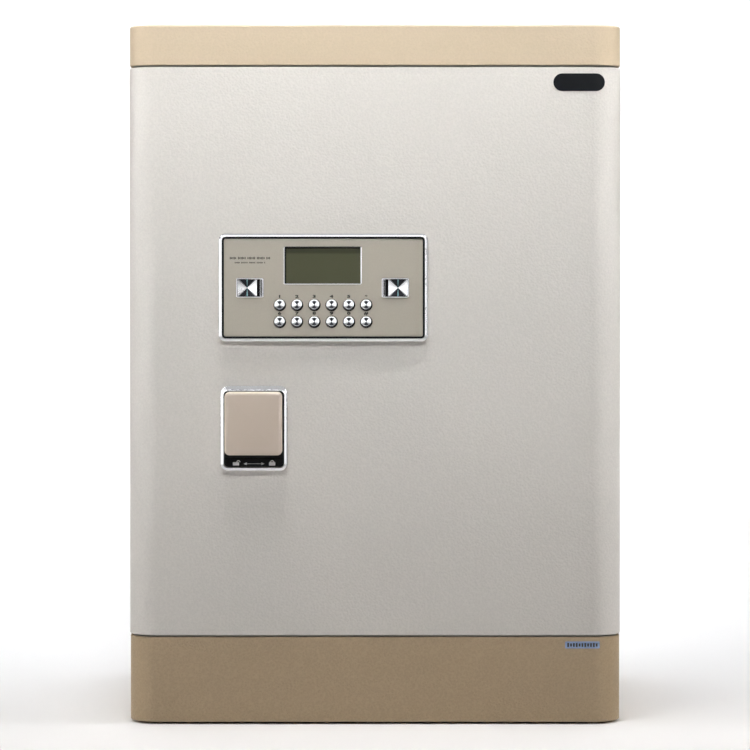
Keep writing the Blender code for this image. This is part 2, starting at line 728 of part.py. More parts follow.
def make_rods(door):
    """Flat bars with a slotted foot on the cam pin and a round end that passes the lock box."""
    pin_near = CRANK_RADIUS * math.cos(CRANK_SWING)
    pin_drop = CRANK_RADIUS * math.sin(CRANK_SWING)
    play = 0.5
    bar_back = ROD_LAYER + ROD_SHEET
    tip_overlap = 40.0
    for name, way, tip in (("top", 1, BOX_HIGH - 1.0), ("bottom", -1, BOX_LOW + 1.0)):
        rod_x = HANDLE_X + way * ROD_OFFSET
        pin_z = HANDLE_Z - way * pin_drop
        slide = joint_empty(f"rod_{name}_axis", (rod_x, ROD_Y, tip), door)
        ends = sorted((pin_z + way * 8.0, tip - way * (tip_overlap - 5.0)))
        bar = block(
            f"rod_{name}", (rod_x - ROD_RADIUS, ROD_LAYER, ends[0]), (rod_x + ROD_RADIUS, bar_back, ends[1]),
            "zinc_steel",
        )
        foot = block(
            f"rod_foot_{name}", (rod_x - 10.2, ROD_LAYER, pin_z - 9.0), (rod_x + 10.2, bar_back, pin_z + 9.0),
        )
        slot_ends = sorted((
            HANDLE_X + way * (pin_near - CRANK_PIN - play),
            HANDLE_X + way * (CRANK_RADIUS + CRANK_PIN + play),
        ))
        slot = block(
            f"rod_slot_{name}", (slot_ends[0], ROD_LAYER - 5.0, pin_z - CRANK_PIN - play),
            (slot_ends[1], bar_back + 5.0, pin_z + CRANK_PIN + play),
        )
        start = tip - tip_overlap if way > 0 else tip
        end_pin = cylinder(
            f"rod_end_{name}", (rod_x, ROD_Y, start), tip_overlap, "+Z", ROD_RADIUS, None, 24, 1.0,
        )
        shape(bar, "UNION", foot, end_pin)
        shape(bar, "DIFFERENCE", slot)
        attach(bar, slide)


# ---- trim on the door's front --------------------------------------------------------------------

def make_escutcheon(door):
    ring = plate(
        "handle_bezel", ESCUTCHEON_X, ESCUTCHEON_Z, ESCUTCHEON_WIDTH, ESCUTCHEON_HEIGHT,
        FRONT - ESCUTCHEON_PROUD, MOUNT_PLANE, "chrome", (("Y", "", 6.0, 5), ("*", "-Y", 1.6, 2)),
    )
    inner_width = ESCUTCHEON_WIDTH - 2 * ESCUTCHEON_RIM
    inner_height = ESCUTCHEON_HEIGHT - 2 * ESCUTCHEON_RIM
    opening = plate(
        "escutcheon_opening", ESCUTCHEON_X, ESCUTCHEON_Z, inner_width, inner_height,
        FRONT - ESCUTCHEON_PROUD - 5.0, FRONT + 2.0, None, (("Y", "", 3.5, 4),),
    )
    shape(ring, "DIFFERENCE", opening)
    backing = plate(
        "handle_backplate", ESCUTCHEON_X, ESCUTCHEON_Z, inner_width - 2 * FIT, inner_height - 2 * FIT,
        FRONT - BACKPLATE_PROUD, MOUNT_PLANE, "black_plastic", (("Y", "", 3.3, 4),),
    )
    bore = cylinder(
        "backplate_bore", (HANDLE_X, FRONT - 10.0, HANDLE_Z), 15.0, "+Y", SPINDLE_RADIUS + 0.5, None, 24,
    )
    shape(backing, "DIFFERENCE", bore)
    for piece in (ring, backing):
        attach(piece, door)


def key_places():
    """Name, x and z of every key."""
    for labels, level in zip(KEY_NAMES, KEY_ROWS):
        for column, label in enumerate(labels):
            yield label, KEY_BLOCK_X + (column - 2.5) * KEY_PITCH, level


def make_keypad(door):
    ring = plate(
        "keypad_bezel", PANEL_X, PANEL_Z, PANEL_WIDTH, PANEL_HEIGHT, FRONT - PANEL_PROUD, MOUNT_PLANE,
        "chrome", (("Y", "", 5.0, 4), ("*", "-Y", 1.8, 2)),
    )
    inner_width = PANEL_WIDTH - 2 * PANEL_RIM
    inner_height = PANEL_HEIGHT - 2 * PANEL_RIM
    opening = plate(
        "bezel_opening", PANEL_X, PANEL_Z, inner_width, inner_height, FRONT - PANEL_PROUD - 5.0, FRONT + 2.0,
        None, (("Y", "", 1.6, 2),),
    )
    shape(ring, "DIFFERENCE", opening)

    fascia = plate(
        "keypad_fascia", PANEL_X, PANEL_Z, inner_width - 2 * FIT, inner_height - 2 * FIT, FASCIA_FRONT,
        MOUNT_PLANE, "beige_plastic", (("Y", "", 1.4, 2),),
    )
    holes = [
        cylinder(f"fascia_hole_{label}", (x, FASCIA_FRONT - 5.0, z), 15.0, "+Y", KEY_RADIUS + FIT, None, 16)
        for label, x, z in key_places()
    ]
    window = plate("fascia_window", LCD_X, LCD_Z, LCD_WIDTH, LCD_HEIGHT, FASCIA_FRONT - 5.0, FRONT + 2.0)
    ports = [
        plate(
            f"fascia_port_{name}", x, FLAP_Z, FLAP_WIDTH - 3.0, FLAP_HEIGHT - 1.7, FASCIA_FRONT - 5.0,
            FRONT + 2.0,
        )
        for name, x in (("left", FLAP_LEFT_X), ("right", FLAP_RIGHT_X))
    ]
    shape(fascia, "DIFFERENCE", window, *ports, *holes)

    lens = plate(
        "lcd_lens", LCD_X, LCD_Z, LCD_WIDTH - 2 * FIT, LCD_HEIGHT - 2 * FIT, FASCIA_FRONT + 1.5,
        FASCIA_FRONT + 2.8, "lcd_glass",
    )
    module = plate(
        "lcd_module", LCD_X, LCD_Z + 0.2, DISPLAY_WIDTH, DISPLAY_HEIGHT, FASCIA_FRONT + 3.4, FRONT + 2.2,
        "black_plastic",
    )

    housing_back = FRONT + HOUSING_DEPTH
    housing = plate(
        "keypad_housing", HOUSING_X, HOUSING_Z, HOUSING_WIDTH, HOUSING_HEIGHT, FRONT, housing_back,
        "black_plastic",
    )
    housing_hollow = plate(
        "housing_hollow", HOUSING_X, HOUSING_Z, HOUSING_WIDTH - 2 * HOUSING_WALL,
        HOUSING_HEIGHT - 2 * HOUSING_WALL, FRONT - 5.0, housing_back - HOUSING_WALL,
    )
    barrel_bore = cylinder(
        "housing_barrel_bore", (FLAP_LEFT_X, FRONT + 15.0, FLAP_Z), 10.0, "+Y", BARREL_RADIUS + FIT,
    )
    shape(housing, "DIFFERENCE", housing_hollow, barrel_bore)
    board = plate(
        "keypad_pcb", HOUSING_X - 1.3, HOUSING_Z, BOARD_WIDTH, BOARD_HEIGHT, FRONT + 2.6, FRONT + 4.2,
        "circuit_board",
    )

    for piece in (ring, fascia, lens, module, housing, board):
        attach(piece, door)


def make_keys(door):
    """Each key has a collar behind the fascia that keeps it in, and travels one millimetre."""
    rear = FRONT + 1.0
    height = rear - FASCIA_FRONT + KEY_PROUD
    collar = KEY_RADIUS + 0.95
    collar_depth = 1.0
    profile = (
        (0.0, height), (KEY_RADIUS - 0.85, height), (KEY_RADIUS, height - 0.9), (KEY_RADIUS, collar_depth),
        (collar, collar_depth), (collar, 0.0), (0.0, 0.0),
    )
    for label, x, z in key_places():
        slide = joint_empty(f"key_{label}_axis", (x, rear, z), door)
        attach(turned(f"key_{label}", profile, (x, rear, z), "-Y", "chrome", 16), slide)


def make_ports(door):
    """Emergency key cylinder and power socket, each behind its own flip cover."""
    barrel_front = FASCIA_FRONT + 0.6
    barrel = cylinder(
        "key_cylinder", (FLAP_LEFT_X, barrel_front, FLAP_Z), BARREL_LENGTH, "+Y", BARREL_RADIUS,
        "zinc_steel", 20,
    )
    bore = cylinder(
        "barrel_bore", (FLAP_LEFT_X, barrel_front - 5.0, FLAP_Z), BARREL_LENGTH, "+Y", PLUG_RADIUS + FIT,
        None, 20,
    )
    shape(barrel, "DIFFERENCE", bore)
    attach(barrel, door)

    axis = joint_empty("plug_axis", (FLAP_LEFT_X, barrel_front, FLAP_Z), door)
    plug = cylinder(
        "cylinder_plug", (FLAP_LEFT_X, barrel_front - 0.2, FLAP_Z), PLUG_LENGTH, "+Y", PLUG_RADIUS,
        "brass", 20,
    )
    keyway = plate("plug_keyway", FLAP_LEFT_X, FLAP_Z, 2.0, 7.0, barrel_front - 5.0, barrel_front + 18.0)
    shape(plug, "DIFFERENCE", keyway)
    attach(plug, axis)

    socket = plate(
        "power_socket", FLAP_RIGHT_X, FLAP_Z, 18.0, 13.0, FASCIA_FRONT + 0.6, FRONT + 12.0, "black_plastic",
    )
    mouth = plate(
        "socket_mouth", FLAP_RIGHT_X, FLAP_Z, 9.0, 7.0, FASCIA_FRONT - 5.0, FRONT + 6.0, None,
        (("Y", "", 2.0, 3),),
    )
    shape(socket, "DIFFERENCE", mouth)
    attach(socket, door)

    back = FASCIA_FRONT - FIT
    for name, x, side in (("left", FLAP_LEFT_X, -1), ("right", FLAP_RIGHT_X, 1)):
        hinge = joint_empty(f"cover_{name}_axis", (x + side * FLAP_WIDTH / 2, back - 0.1, FLAP_Z), door)
        flap = plate(
            f"cover_{name}", x, FLAP_Z, FLAP_WIDTH, FLAP_HEIGHT, back - FLAP_DEPTH, back, "chrome",
            (("Y", "", 1.0, 2), ("*", "-Y", 0.5, 1)),
        )
        attach(flap, hinge)


# ---- the whole object ----------------------------------------------------------------------------

make_base()
make_plates()
make_cap()
make_walls()
make_inside()

door_hinge = joint_empty("door_axis", (HINGE_X, HINGE_Y, DOOR_LOW))
make_hinges(door_hinge)
make_door_shell(door_hinge)
make_lock_box(door_hinge)
make_battery_cover(door_hinge)
make_solenoid(door_hinge)
make_handle(door_hinge)
make_bolts(door_hinge)
make_rods(door_hinge)
make_escutcheon(door_hinge)
make_keypad(door_hinge)
make_keys(door_hinge)
make_ports(door_hinge)
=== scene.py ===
"""Looks of the floor-standing in-room safe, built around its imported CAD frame.

Shapes and textures are given in millimetres and turn into metres when their mesh or node is made.
The stage, the lamps and the camera are in metres. +Z is up and the door's front faces -Y. Each piece
takes its place from the box of the CAD node it stands for or sits on.
"""

import math

import bmesh
import bpy
from mathutils import Matrix, Vector


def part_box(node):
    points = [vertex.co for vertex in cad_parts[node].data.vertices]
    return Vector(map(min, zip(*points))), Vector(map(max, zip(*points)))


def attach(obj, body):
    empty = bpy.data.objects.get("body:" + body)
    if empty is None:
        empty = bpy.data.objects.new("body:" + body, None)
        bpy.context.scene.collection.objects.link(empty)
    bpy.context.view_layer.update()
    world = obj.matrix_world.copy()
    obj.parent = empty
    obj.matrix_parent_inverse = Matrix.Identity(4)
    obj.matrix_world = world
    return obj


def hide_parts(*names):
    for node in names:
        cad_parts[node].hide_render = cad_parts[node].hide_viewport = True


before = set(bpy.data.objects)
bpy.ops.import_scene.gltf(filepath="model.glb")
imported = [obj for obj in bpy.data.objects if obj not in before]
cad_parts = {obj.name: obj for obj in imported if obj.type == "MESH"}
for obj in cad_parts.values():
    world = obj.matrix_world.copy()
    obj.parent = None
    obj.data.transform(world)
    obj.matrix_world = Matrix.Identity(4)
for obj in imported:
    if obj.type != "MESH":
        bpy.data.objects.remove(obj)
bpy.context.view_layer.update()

MM = 0.001


def box(node):
    """Lowest and highest corners of a CAD node, in millimetres."""
    low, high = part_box(node)
    return low / MM, high / MM


SKIN_LOW, SKIN_HIGH = box("door_skin")
CAP_LOW, CAP_HIGH = box("top_cap")
BASE_LOW, BASE_HIGH = box("base_plinth")
FRONT = SKIN_LOW.y
CORNER = 25.0  # upright front corners of the door
STEP = SKIN_HIGH.x - CAP_HIGH.x  # the door stands this far outside the cap at each side


# ---- finishes: a material and the nodes that vary it ----

class Look:
    """One Principled material. Textures use object coordinates, which are the row frame's metres."""

    def __init__(self, name, colour, roughness, metallic=0.0, **sockets):
        self.name = name
        self.material = bpy.data.materials.new(name)
        self.material.use_nodes = True
        self.tree = self.material.node_tree
        self.shader = self.tree.nodes["Principled BSDF"]
        self.colour = colour
        self.normal = None
        self.shader.inputs["Base Color"].default_value = (*colour, 1.0)
        self.shader.inputs["Roughness"].default_value = roughness
        self.shader.inputs["Metallic"].default_value = metallic
        for socket, value in sockets.items():
            self.shader.inputs[socket.replace("_", " ")].default_value = value
        self.material.diffuse_color = (*colour, 1.0)
        coordinates = self.add("ShaderNodeTexCoord").outputs
        self.place, self.share = coordinates["Object"], coordinates["Generated"]

    def add(self, kind, inputs=None, **settings):
        """New node; inputs may be values or other nodes' outputs."""
        node = self.tree.nodes.new(kind)
        for key, value in settings.items():
            setattr(node, key, value)
        for key, value in (inputs or {}).items():
            if isinstance(value, bpy.types.NodeSocket):
                self.tree.links.new(value, node.inputs[key])
            else:
                node.inputs[key].default_value = value
        return node

    def calc(self, operation, *values):
        """Number out of one or two numbers."""
        return self.add("ShaderNodeMath", dict(enumerate(values)), operation=operation).outputs[0]

    def vector(self, operation, *values):
        """Vector out of vectors; a length or a distance is a number."""
        node = self.add("ShaderNodeVectorMath", dict(enumerate(values)), operation=operation)
        return node.outputs["Value" if operation in ("LENGTH", "DISTANCE") else "Vector"]

    def axis(self, name, source=None):
        """One coordinate of a vector, or of the share of the way across the piece's box."""
        return self.add("ShaderNodeSeparateXYZ", {0: source or self.share}).outputs[name]

    def noise(self, size, detail=2.0, stretch=(1.0, 1.0, 1.0)):
        """Noise whose features are about size long; stretch lengthens them along an axis."""
        scaled = self.vector("MULTIPLY", self.place, [1.0 / (size * MM * k) for k in stretch])
        inputs = {"Vector": scaled, "Scale": 1.0, "Detail": detail}
        return self.add("ShaderNodeTexNoise", inputs).outputs[0]

    def cells(self, size, feature="SMOOTH_F1", bend=0.0):
        """Voronoi cells of about that size; bend pushes their edges about."""
        source = self.place
        if bend:
            wander = self.add("ShaderNodeTexNoise", {"Vector": self.place, "Scale": 0.6 / (size * MM)})
            source = self.vector("MULTIPLY_ADD", wander.outputs[1], (bend * MM,) * 3, self.place)
        inputs = {"Vector": source, "Scale": 1.0 / (size * MM)}
        return self.add("ShaderNodeTexVoronoi", inputs, feature=feature).outputs["Distance"]

    def remap(self, value, low, high, to_low=0.0, to_high=1.0):
        inputs = {"Value": value, "From Min": low, "From Max": high, "To Min": to_low, "To Max": to_high}
        return self.add("ShaderNodeMapRange", inputs).outputs[0]

    def mixed(self, factor, first, second):
        """Colour between two; each may be a colour or another node's output."""
        ends = [end if isinstance(end, bpy.types.NodeSocket) else (*end, 1.0) for end in (first, second)]
        return self.add("ShaderNodeMix", {0: factor, 6: ends[0], 7: ends[1]}, data_type="RGBA").outputs[2]

    def paint(self, colour):
        self.tree.links.new(colour, self.shader.inputs["Base Color"])
        return self

    def shade(self, pattern, darkest, lightest, low=0.3, high=0.7):
        """Varies the base colour between two shares of itself."""
        dark = [channel * darkest for channel in self.colour]
        light = [min(channel * lightest, 1.0) for channel in self.colour]
        return self.paint(self.mixed(self.remap(pattern, low, high), dark, light))

    def gloss(self, pattern, low, high):
        """Varies the roughness."""
        self.tree.links.new(self.remap(pattern, 0.3, 0.7, low, high), self.shader.inputs["Roughness"])
        return self

    def relief(self, pattern, depth, strength=1.0):
        """Adds a bump on top of those already there."""
        node = self.add("ShaderNodeBump", {"Height": pattern, "Distance": depth * MM, "Strength": strength})
        if self.normal:
            self.tree.links.new(self.normal, node.inputs["Normal"])
        self.normal = node.outputs[0]
        self.tree.links.new(self.normal, self.shader.inputs["Normal"])
        return self


def powder_coat(name, colour, grain=1.0):
    """Leather-grain powder coat: small wandering cells, a finer tooth, and broad clouding."""
    look = Look(name, colour, 0.5, Specular_IOR_Level=0.4)
    cells = look.cells(1.7, bend=1.6)
    look.relief(cells, 0.5, 0.42 * grain).relief(look.noise(0.8, 1.0), 0.2, 0.30 * grain)
    speck = look.calc("ADD", cells, look.noise(1.1))
    look.shade(speck, 1.0 - 0.045 * grain, 1.0 + 0.03 * grain, 0.6, 1.2)
    return look.gloss(look.noise(2.5), 0.44, 0.60)


def smooth_coat(name, colour, roughness=0.45):
    """Fine, even powder coat of the inside parts."""
    look = Look(name, colour, roughness)
    peel = look.noise(1.6)
    look.relief(peel, 0.12, 0.35)
    return look.shade(look.noise(45.0, 3.0), 0.95, 1.04).gloss(peel, roughness - 0.05, roughness + 0.08)


def metal(name, colour, roughness, grain=(1.0, 1.0, 1.0), scratch=0.12, tint=0.06):
    """Bare or plated metal with fine drawn lines and a clouded tint."""
    look = Look(name, colour, roughness, 1.0)
    lines = look.noise(0.35, 2.0, grain)
    look.relief(lines, 0.03, scratch).shade(look.noise(14.0, 3.0), 1.0 - tint, 1.0 + tint)
    return look.gloss(lines, roughness * 0.75, roughness * 1.4)


def chrome_plate(name, wave=0.06):
    """Bright plate on moulded plastic: nearly a mirror, a little wavy and smudged."""
    look = Look(name, (0.90, 0.90, 0.92), 0.06, 1.0)
    look.relief(look.noise(7.0), 0.5, wave)
    smudge = look.noise(5.0, 4.0)
    return look.shade(smudge, 0.95, 1.02).gloss(smudge, 0.04, 0.12)


CUT_CHROME = (0.88, 0.89, 0.91)
CUT_BRIGHT = (0.90, 0.91, 0.93)
BURST_WIDTH = 16.4  # cut faces of the two flip covers
BURST_HEIGHT = 14.3
KEY_BOX = 12.4  # a key with its collar


def around_middle(look, width, height):
    """Place on a face from its middle, how far out that is, and how level its way out is, from 0 to 1."""
    centred = look.vector("ADD", look.share, (-0.5, -0.5, -0.5))
    sized = look.vector("MULTIPLY", centred, (width, 0.0, height))
    away = look.vector("LENGTH", sized)
    return sized, away, look.calc("ABSOLUTE", look.calc("DIVIDE", look.axis("X", sized), away))


def sunburst(name):
    """Chrome cut with fine lines that run out from the middle, with a bow tie painted into its colour as
    painted reflection: dark wedges at the top and bottom and a teal streak along the middle, bright chrome
    left and right.
    """
    look = Look(name, CUT_CHROME, 0.16, 1.0)
    sized, away, level = around_middle(look, BURST_WIDTH, BURST_HEIGHT)
    turn = look.calc("ARCTAN2", look.axis("Z", sized), look.axis("X", sized))
    inputs = {"W": turn, "Scale": 34.0, "Detail": 4.0}
    rays = look.add("ShaderNodeTexNoise", inputs, noise_dimensions="1D").outputs[0]
    look.relief(away, math.tan(math.radians(12.0))).relief(rays, 0.2, 0.2)
    # painted reflection: dark top and bottom wedges, teal along the middle line; the left and right wedges
    # stay bright chrome
    dark = look.mixed(look.remap(level, 0.06, 0.12), (0.25, 0.42, 0.44), (0.035, 0.037, 0.042))
    look.paint(look.mixed(look.remap(level, 0.66, 0.80), dark, CUT_BRIGHT))
    return look.gloss(rays, 0.10, 0.2)


def cut_key(name):
    """Cut chrome of a key with painted reflection and shade in its colour: an hourglass of dark wedges on
    its face, and a dark edge low and right as painted shade.
    """
    look = Look(name, CUT_CHROME, 0.12, 1.0)
    sized, away, level = around_middle(look, KEY_BOX, KEY_BOX)
    # painted reflection: dark wedges above and below the middle, inside the bright outer ring
    bright = look.calc("MAXIMUM", look.remap(level, 0.56, 0.70), look.remap(away, 3.3, 3.6))
    # painted shade: a dark edge low and right, past a circle moved up and left
    lower = look.vector("DISTANCE", sized, (-0.25, 0.0, 0.95))
    share = look.calc("MULTIPLY", bright, look.remap(lower, 4.45, 4.7, 1.0, 0.0))
    look.paint(look.mixed(share, (0.045, 0.047, 0.054), CUT_BRIGHT))
    smudge = look.noise(1.5, 3.0)
    return look.relief(smudge, 0.1, 0.12).gloss(smudge, 0.08, 0.18)


def satin_plastic(name, colour, roughness, speck=0.02, **sockets):
    """Sprayed or moulded plastic with a fine even tooth."""
    look = Look(name, colour, roughness, **sockets)
    look.relief(look.noise(0.45), 0.05, 0.25)
    look.shade(look.noise(0.9, 3.0), 1.0 - speck, 1.0 + speck)
    return look.gloss(look.noise(9.0, 3.0), roughness - 0.04, roughness + 0.07)


def pad_look():
    """Sprayed plastic of the handle's pad, with a painted highlight along its top and left edges."""
    look = satin_plastic("pad_plastic", (0.61, 0.51, 0.42), 0.36, Coat_Weight=0.5, Coat_Roughness=0.12)
    # painted highlight: paler colour along the top and left edges
    top = look.remap(look.axis("Z"), 0.965, 0.985, 0.0, 0.8)
    left = look.remap(look.axis("X"), 0.035, 0.015, 0.0, 0.45)
    return look.paint(look.mixed(look.calc("MAXIMUM", top, left), look.colour, (0.95, 0.84, 0.68)))


def glossy_plastic(name, colour, roughness=0.1):
    """Polished dark plastic with faint wipe marks."""
    look = Look(name, colour, roughness, Coat_Weight=0.5, Coat_Roughness=0.05)
    wipes = look.noise(2.2, 3.0, (6.0, 1.0, 1.0))
    look.relief(look.noise(6.0), 0.2, 0.04)
    return look.shade(wipes, 0.85, 1.2).gloss(wipes, roughness * 0.8, roughness * 1.8)


def rubber_look():
    look = Look("rubber", (0.022, 0.022, 0.023), 0.85, Specular_IOR_Level=0.3)
    pores = look.noise(0.7, 3.0)
    return look.relief(pores, 0.15, 0.4).shade(pores, 0.8, 1.3).gloss(pores, 0.78, 0.93)


def felt_look():
    """Needled felt: tangled short fibres over uneven tufts."""
    look = Look(
        "felt", (0.075, 0.076, 0.082), 0.95, Sheen_Weight=0.35, Sheen_Roughness=0.5, Specular_IOR_Level=0.2,
    )
    along = look.noise(0.5, 3.0, (5.0, 1.0, 1.0))
    across = look.noise(0.5, 3.0, (1.0, 5.0, 1.0))
    tufts = look.noise(3.0)
    look.relief(tufts, 0.8, 0.5).relief(along, 0.3, 0.5).relief(across, 0.3, 0.5)
    fibres = look.calc("MAXIMUM", along, across)
    return look.shade(fibres, 0.6, 1.7, 0.4, 0.7).gloss(tufts, 0.88, 1.0)


def board_look():
    """Green solder mask over darker copper tracks."""
    look = Look("circuit_board", (0.015, 0.12, 0.05), 0.35)
    squares = look.cells(3.0, "F1")
    look.paint(look.mixed(look.remap(squares, 0.42, 0.46), (0.012, 0.10, 0.04), (0.03, 0.19, 0.08)))
    return look.relief(squares, 0.05, 0.3).gloss(look.noise(4.0), 0.28, 0.42)


def display_look():
    """Unlit liquid-crystal glass: dark olive, with a painted shadow of its recess along the top and left
    and a band of painted shade across its top, with a clear gloss.
    """
    look = Look("lcd_glass", (0.096, 0.098, 0.058), 0.22, Coat_Weight=0.6, Coat_Roughness=0.06)
    height = look.axis("Z")
    # painted shadow of the recess along the top and left edges, and a painted-shade band across the top
    shadow = look.calc("MAXIMUM", look.remap(height, 0.95, 0.965), look.remap(look.axis("X"), 0.028, 0.02))
    painted_shade_band, edge = ([channel * share for channel in look.colour] for share in (0.66, 0.12))
    look.paint(look.mixed(shadow, look.mixed(look.remap(height, 0.80, 0.86), look.colour, painted_shade_band), edge))
    return look.gloss(look.noise(30.0, 4.0), 0.20, 0.25)


def wrap_look():
    """Printed sleeve of a battery cell: dark body with a copper-coloured top."""
    look = Look("cell_wrap", (0.03, 0.03, 0.035), 0.3, Coat_Weight=0.3, Coat_Roughness=0.1)
    look.paint(look.mixed(look.remap(look.axis("X"), 0.70, 0.71), look.colour, (0.55, 0.30, 0.14)))
    return look.gloss(look.noise(5.0, 3.0), 0.24, 0.38)


LOOKS = {look.name: look for look in (
    powder_coat("door_paint", (0.70, 0.665, 0.62)),
    powder_coat("cap_paint", (0.61, 0.495, 0.35), 0.7),
    # the cap's champagne paint made darker: painted shade low on the object
    powder_coat("champagne_in_shade", (0.415, 0.311, 0.191), 1.8),
    smooth_coat("cabinet_steel", (0.42, 0.41, 0.39)),
    smooth_coat("inner_paint", (0.58, 0.55, 0.51), 0.5),
    metal("zinc_steel", (0.66, 0.67, 0.67), 0.30, (1.0, 1.0, 12.0)),
    metal("bolt_steel", (0.70, 0.70, 0.70), 0.20, (1.0, 14.0, 14.0), 0.2, 0.03),
    metal("brass", (0.74, 0.54, 0.24), 0.25, (1.0, 1.0, 8.0)),
    chrome_plate("chrome"),
    chrome_plate("wavy_chrome", 0.22),
    sunburst("sunburst_chrome"),
    chrome_plate("cut_chrome", 0.12),
    cut_key("key_chrome"),
    satin_plastic("fascia_plastic", (0.47, 0.43, 0.357), 0.36, 0.03),
    pad_look(),
    satin_plastic("black_plastic", (0.018, 0.018, 0.019), 0.42, 0.15),
    glossy_plastic("black_gloss", (0.008, 0.008, 0.009)),
    satin_plastic("deep_black", (0.005, 0.006, 0.008), 0.35, 0.1, Specular_IOR_Level=0.2),
    satin_plastic("print_black", (0.02, 0.018, 0.016), 0.5, 0.1),
    satin_plastic("print_white", (0.94, 0.95, 0.96), 0.4),
    glossy_plastic("sticker_blue", (0.24, 0.34, 0.55), 0.25),
    display_look(),
    board_look(),
    rubber_look(),
    felt_look(),
    wrap_look(),
)}


# ---- shape helpers ----

AXES = {"up": (0, 1, 2), "front": (0, 2, 1), "side": (1, 2, 0)}  # across, up and depth of each plane


def rounded(low, high, radii, inset=0.0, steps=8):
    """Outline of a rectangle with rounded corners, pulled in by inset.

    radii is one radius, or four: lower right, upper right, upper left, lower left."""
    corners = radii if isinstance(radii, (tuple, list)) else (radii,) * 4
    points = []
    for index, (side, height) in enumerate(((1, -1), (1, 1), (-1, 1), (-1, -1))):
        radius = max(corners[index] - inset, 0.02)
        across = high[0] - inset - radius if side > 0 else low[0] + inset + radius
        up = high[1] - inset - radius if height > 0 else low[1] + inset + radius
        for step in range(steps + 1):
            angle = math.radians(90.0 * (index - 1 + step / steps))
            points.append((across + radius * math.cos(angle), up + radius * math.sin(angle)))
    return points


def circle(spot, radius, steps=48):
    turns = [math.tau * step / steps for step in range(steps)]
    return [(spot[0] + radius * math.cos(turn), spot[1] + radius * math.sin(turn)) for turn in turns]


def layer(points, level, plane):
    """Flat points at a level: 'up' stacks along Z, 'front' along Y, 'side' along X."""
    if plane == "front":
        return [Vector((across, level, up)) for across, up in points]
    if plane == "side":
        return [Vector((level, across, up)) for across, up in points]
    return [Vector((across, along, level)) for across, along in points]


def flatten(low, high, plane):
    """Two corners as flat corners and levels of a plane."""
    across, up, depth = AXES[plane]
    return (low[across], low[up]), (high[across], high[up]), low[depth], high[depth]


def middle(node, plane="front"):
    """Flat place of a CAD node's middle on a plane."""
    low, high, _, _ = flatten(*box(node), plane)
    return (low[0] + high[0]) / 2, (low[1] + high[1]) / 2


def panel(low, high, front, back, across=0.0, up=None):
    """Corners of a box with a new depth and its sides moved out, by up at the top and bottom if given."""
    up = across if up is None else up
    return (low[0] - across, front, low[2] - up), (high[0] + across, back, high[2] + up)


def about(spot, across, up, front, back):
    """Corners of a block around a place on the front."""
    x, z = spot
    return (x - across, front, z - up), (x + across, back, z + up)


def behind(level, *points):
    """(inset, level) points from (inset, distance behind a level) points."""
    return [(inset, level + depth) for inset, depth in points]


def soft_ends(low, high, at_low, at_high, steps=3):
    """(inset, level) points that round both ends of a stack."""
    turns = [math.radians(90.0 * step / steps) for step in range(steps + 1)]
    start = [(at_low * (1.0 - math.sin(t)), low + at_low * (1.0 - math.cos(t))) for t in turns]
    end = [(at_high * (1.0 - math.sin(t)), high - at_high * (1.0 - math.cos(t))) for t in turns]
    return start + end[::-1]


def add_object(name, data):
    made = bpy.data.objects.new(name, data)
    bpy.context.scene.collection.objects.link(made)
    return made


def mesh_object(name, bm):
    mesh = bpy.data.meshes.new(name)
    bm.to_mesh(mesh)
    bm.free()
    return add_object(name, mesh)


def solid(name, bm):
    """Object out of a closed skin drawn in millimetres."""
    bmesh.ops.scale(bm, vec=(MM, MM, MM), verts=bm.verts)
    bmesh.ops.remove_doubles(bm, verts=bm.verts, dist=1e-7)
    bmesh.ops.recalc_face_normals(bm, faces=bm.faces)
    return mesh_object(name, bm)


def loft(name, layers, closed=False):
    """Skin over layers with the same number of points; capped at both ends, or closed into a ring."""
    bm = bmesh.new()
    rings = [[bm.verts.new(point) for point in points] for points in layers]
    pairs = list(zip(rings, rings[1:]))
    if closed:
        pairs.append((rings[-1], rings[0]))
    else:
        bm.faces.new(rings[0])
        bm.faces.new(rings[-1])
    for first, second in pairs:
        for here, after in zip(range(len(first)), [*range(1, len(first)), 0]):
            bm.faces.new((first[here], first[after], second[after], second[here]))
    return solid(name, bm)


def stack(name, low, high, plane, radii, profile, closed=False, steps=8):
    """Rounded rectangle stacked through (inset, level) points."""
    low, high, _, _ = flatten(low, high, plane)
    layers = [layer(rounded(low, high, radii, inset, steps), level, plane) for inset, level in profile]
    return loft(name, layers, closed)


def slab(name, low, high, plane, radii=0.0, at_low=0.0, at_high=0.0, steps=8):
    """Rounded block between two corners, with softened ends along its plane's depth."""
    _, _, start, end = flatten(low, high, plane)
    return stack(name, low, high, plane, radii, soft_ends(start, end, at_low, at_high), steps=steps)


def lathe(name, spot, plane, profile, closed=False, steps=48):
    """Turned piece from (radius, level) points."""
    layers = [layer(circle(spot, radius, steps), level, plane) for radius, level in profile]
    return loft(name, layers, closed)


def rod(name, spot, plane, radius, start, end, edge=0.0, steps=48):
    """Straight round bar with softened ends."""
    profile = [(radius - inset, level) for inset, level in soft_ends(start, end, edge, edge)]
    return lathe(name, spot, plane, profile, steps=steps)


def final_mesh(piece):
    """New mesh of a piece with its modifiers applied, or of a text."""
    bpy.context.view_layer.update()
    return bpy.data.meshes.new_from_object(piece.evaluated_get(bpy.context.evaluated_depsgraph_get()))


def cut(piece, *tools):
    """Takes the tools' shapes out of a piece and removes the tools."""
    for tool in tools:
        step = piece.modifiers.new(tool.name, "BOOLEAN")
        step.operation = "DIFFERENCE"
        step.object = tool
        step.solver = "EXACT"
    mesh = final_mesh(piece)
    piece.modifiers.clear()
    piece.data = mesh
    for tool in tools:
        bpy.data.objects.remove(tool)
    return piece


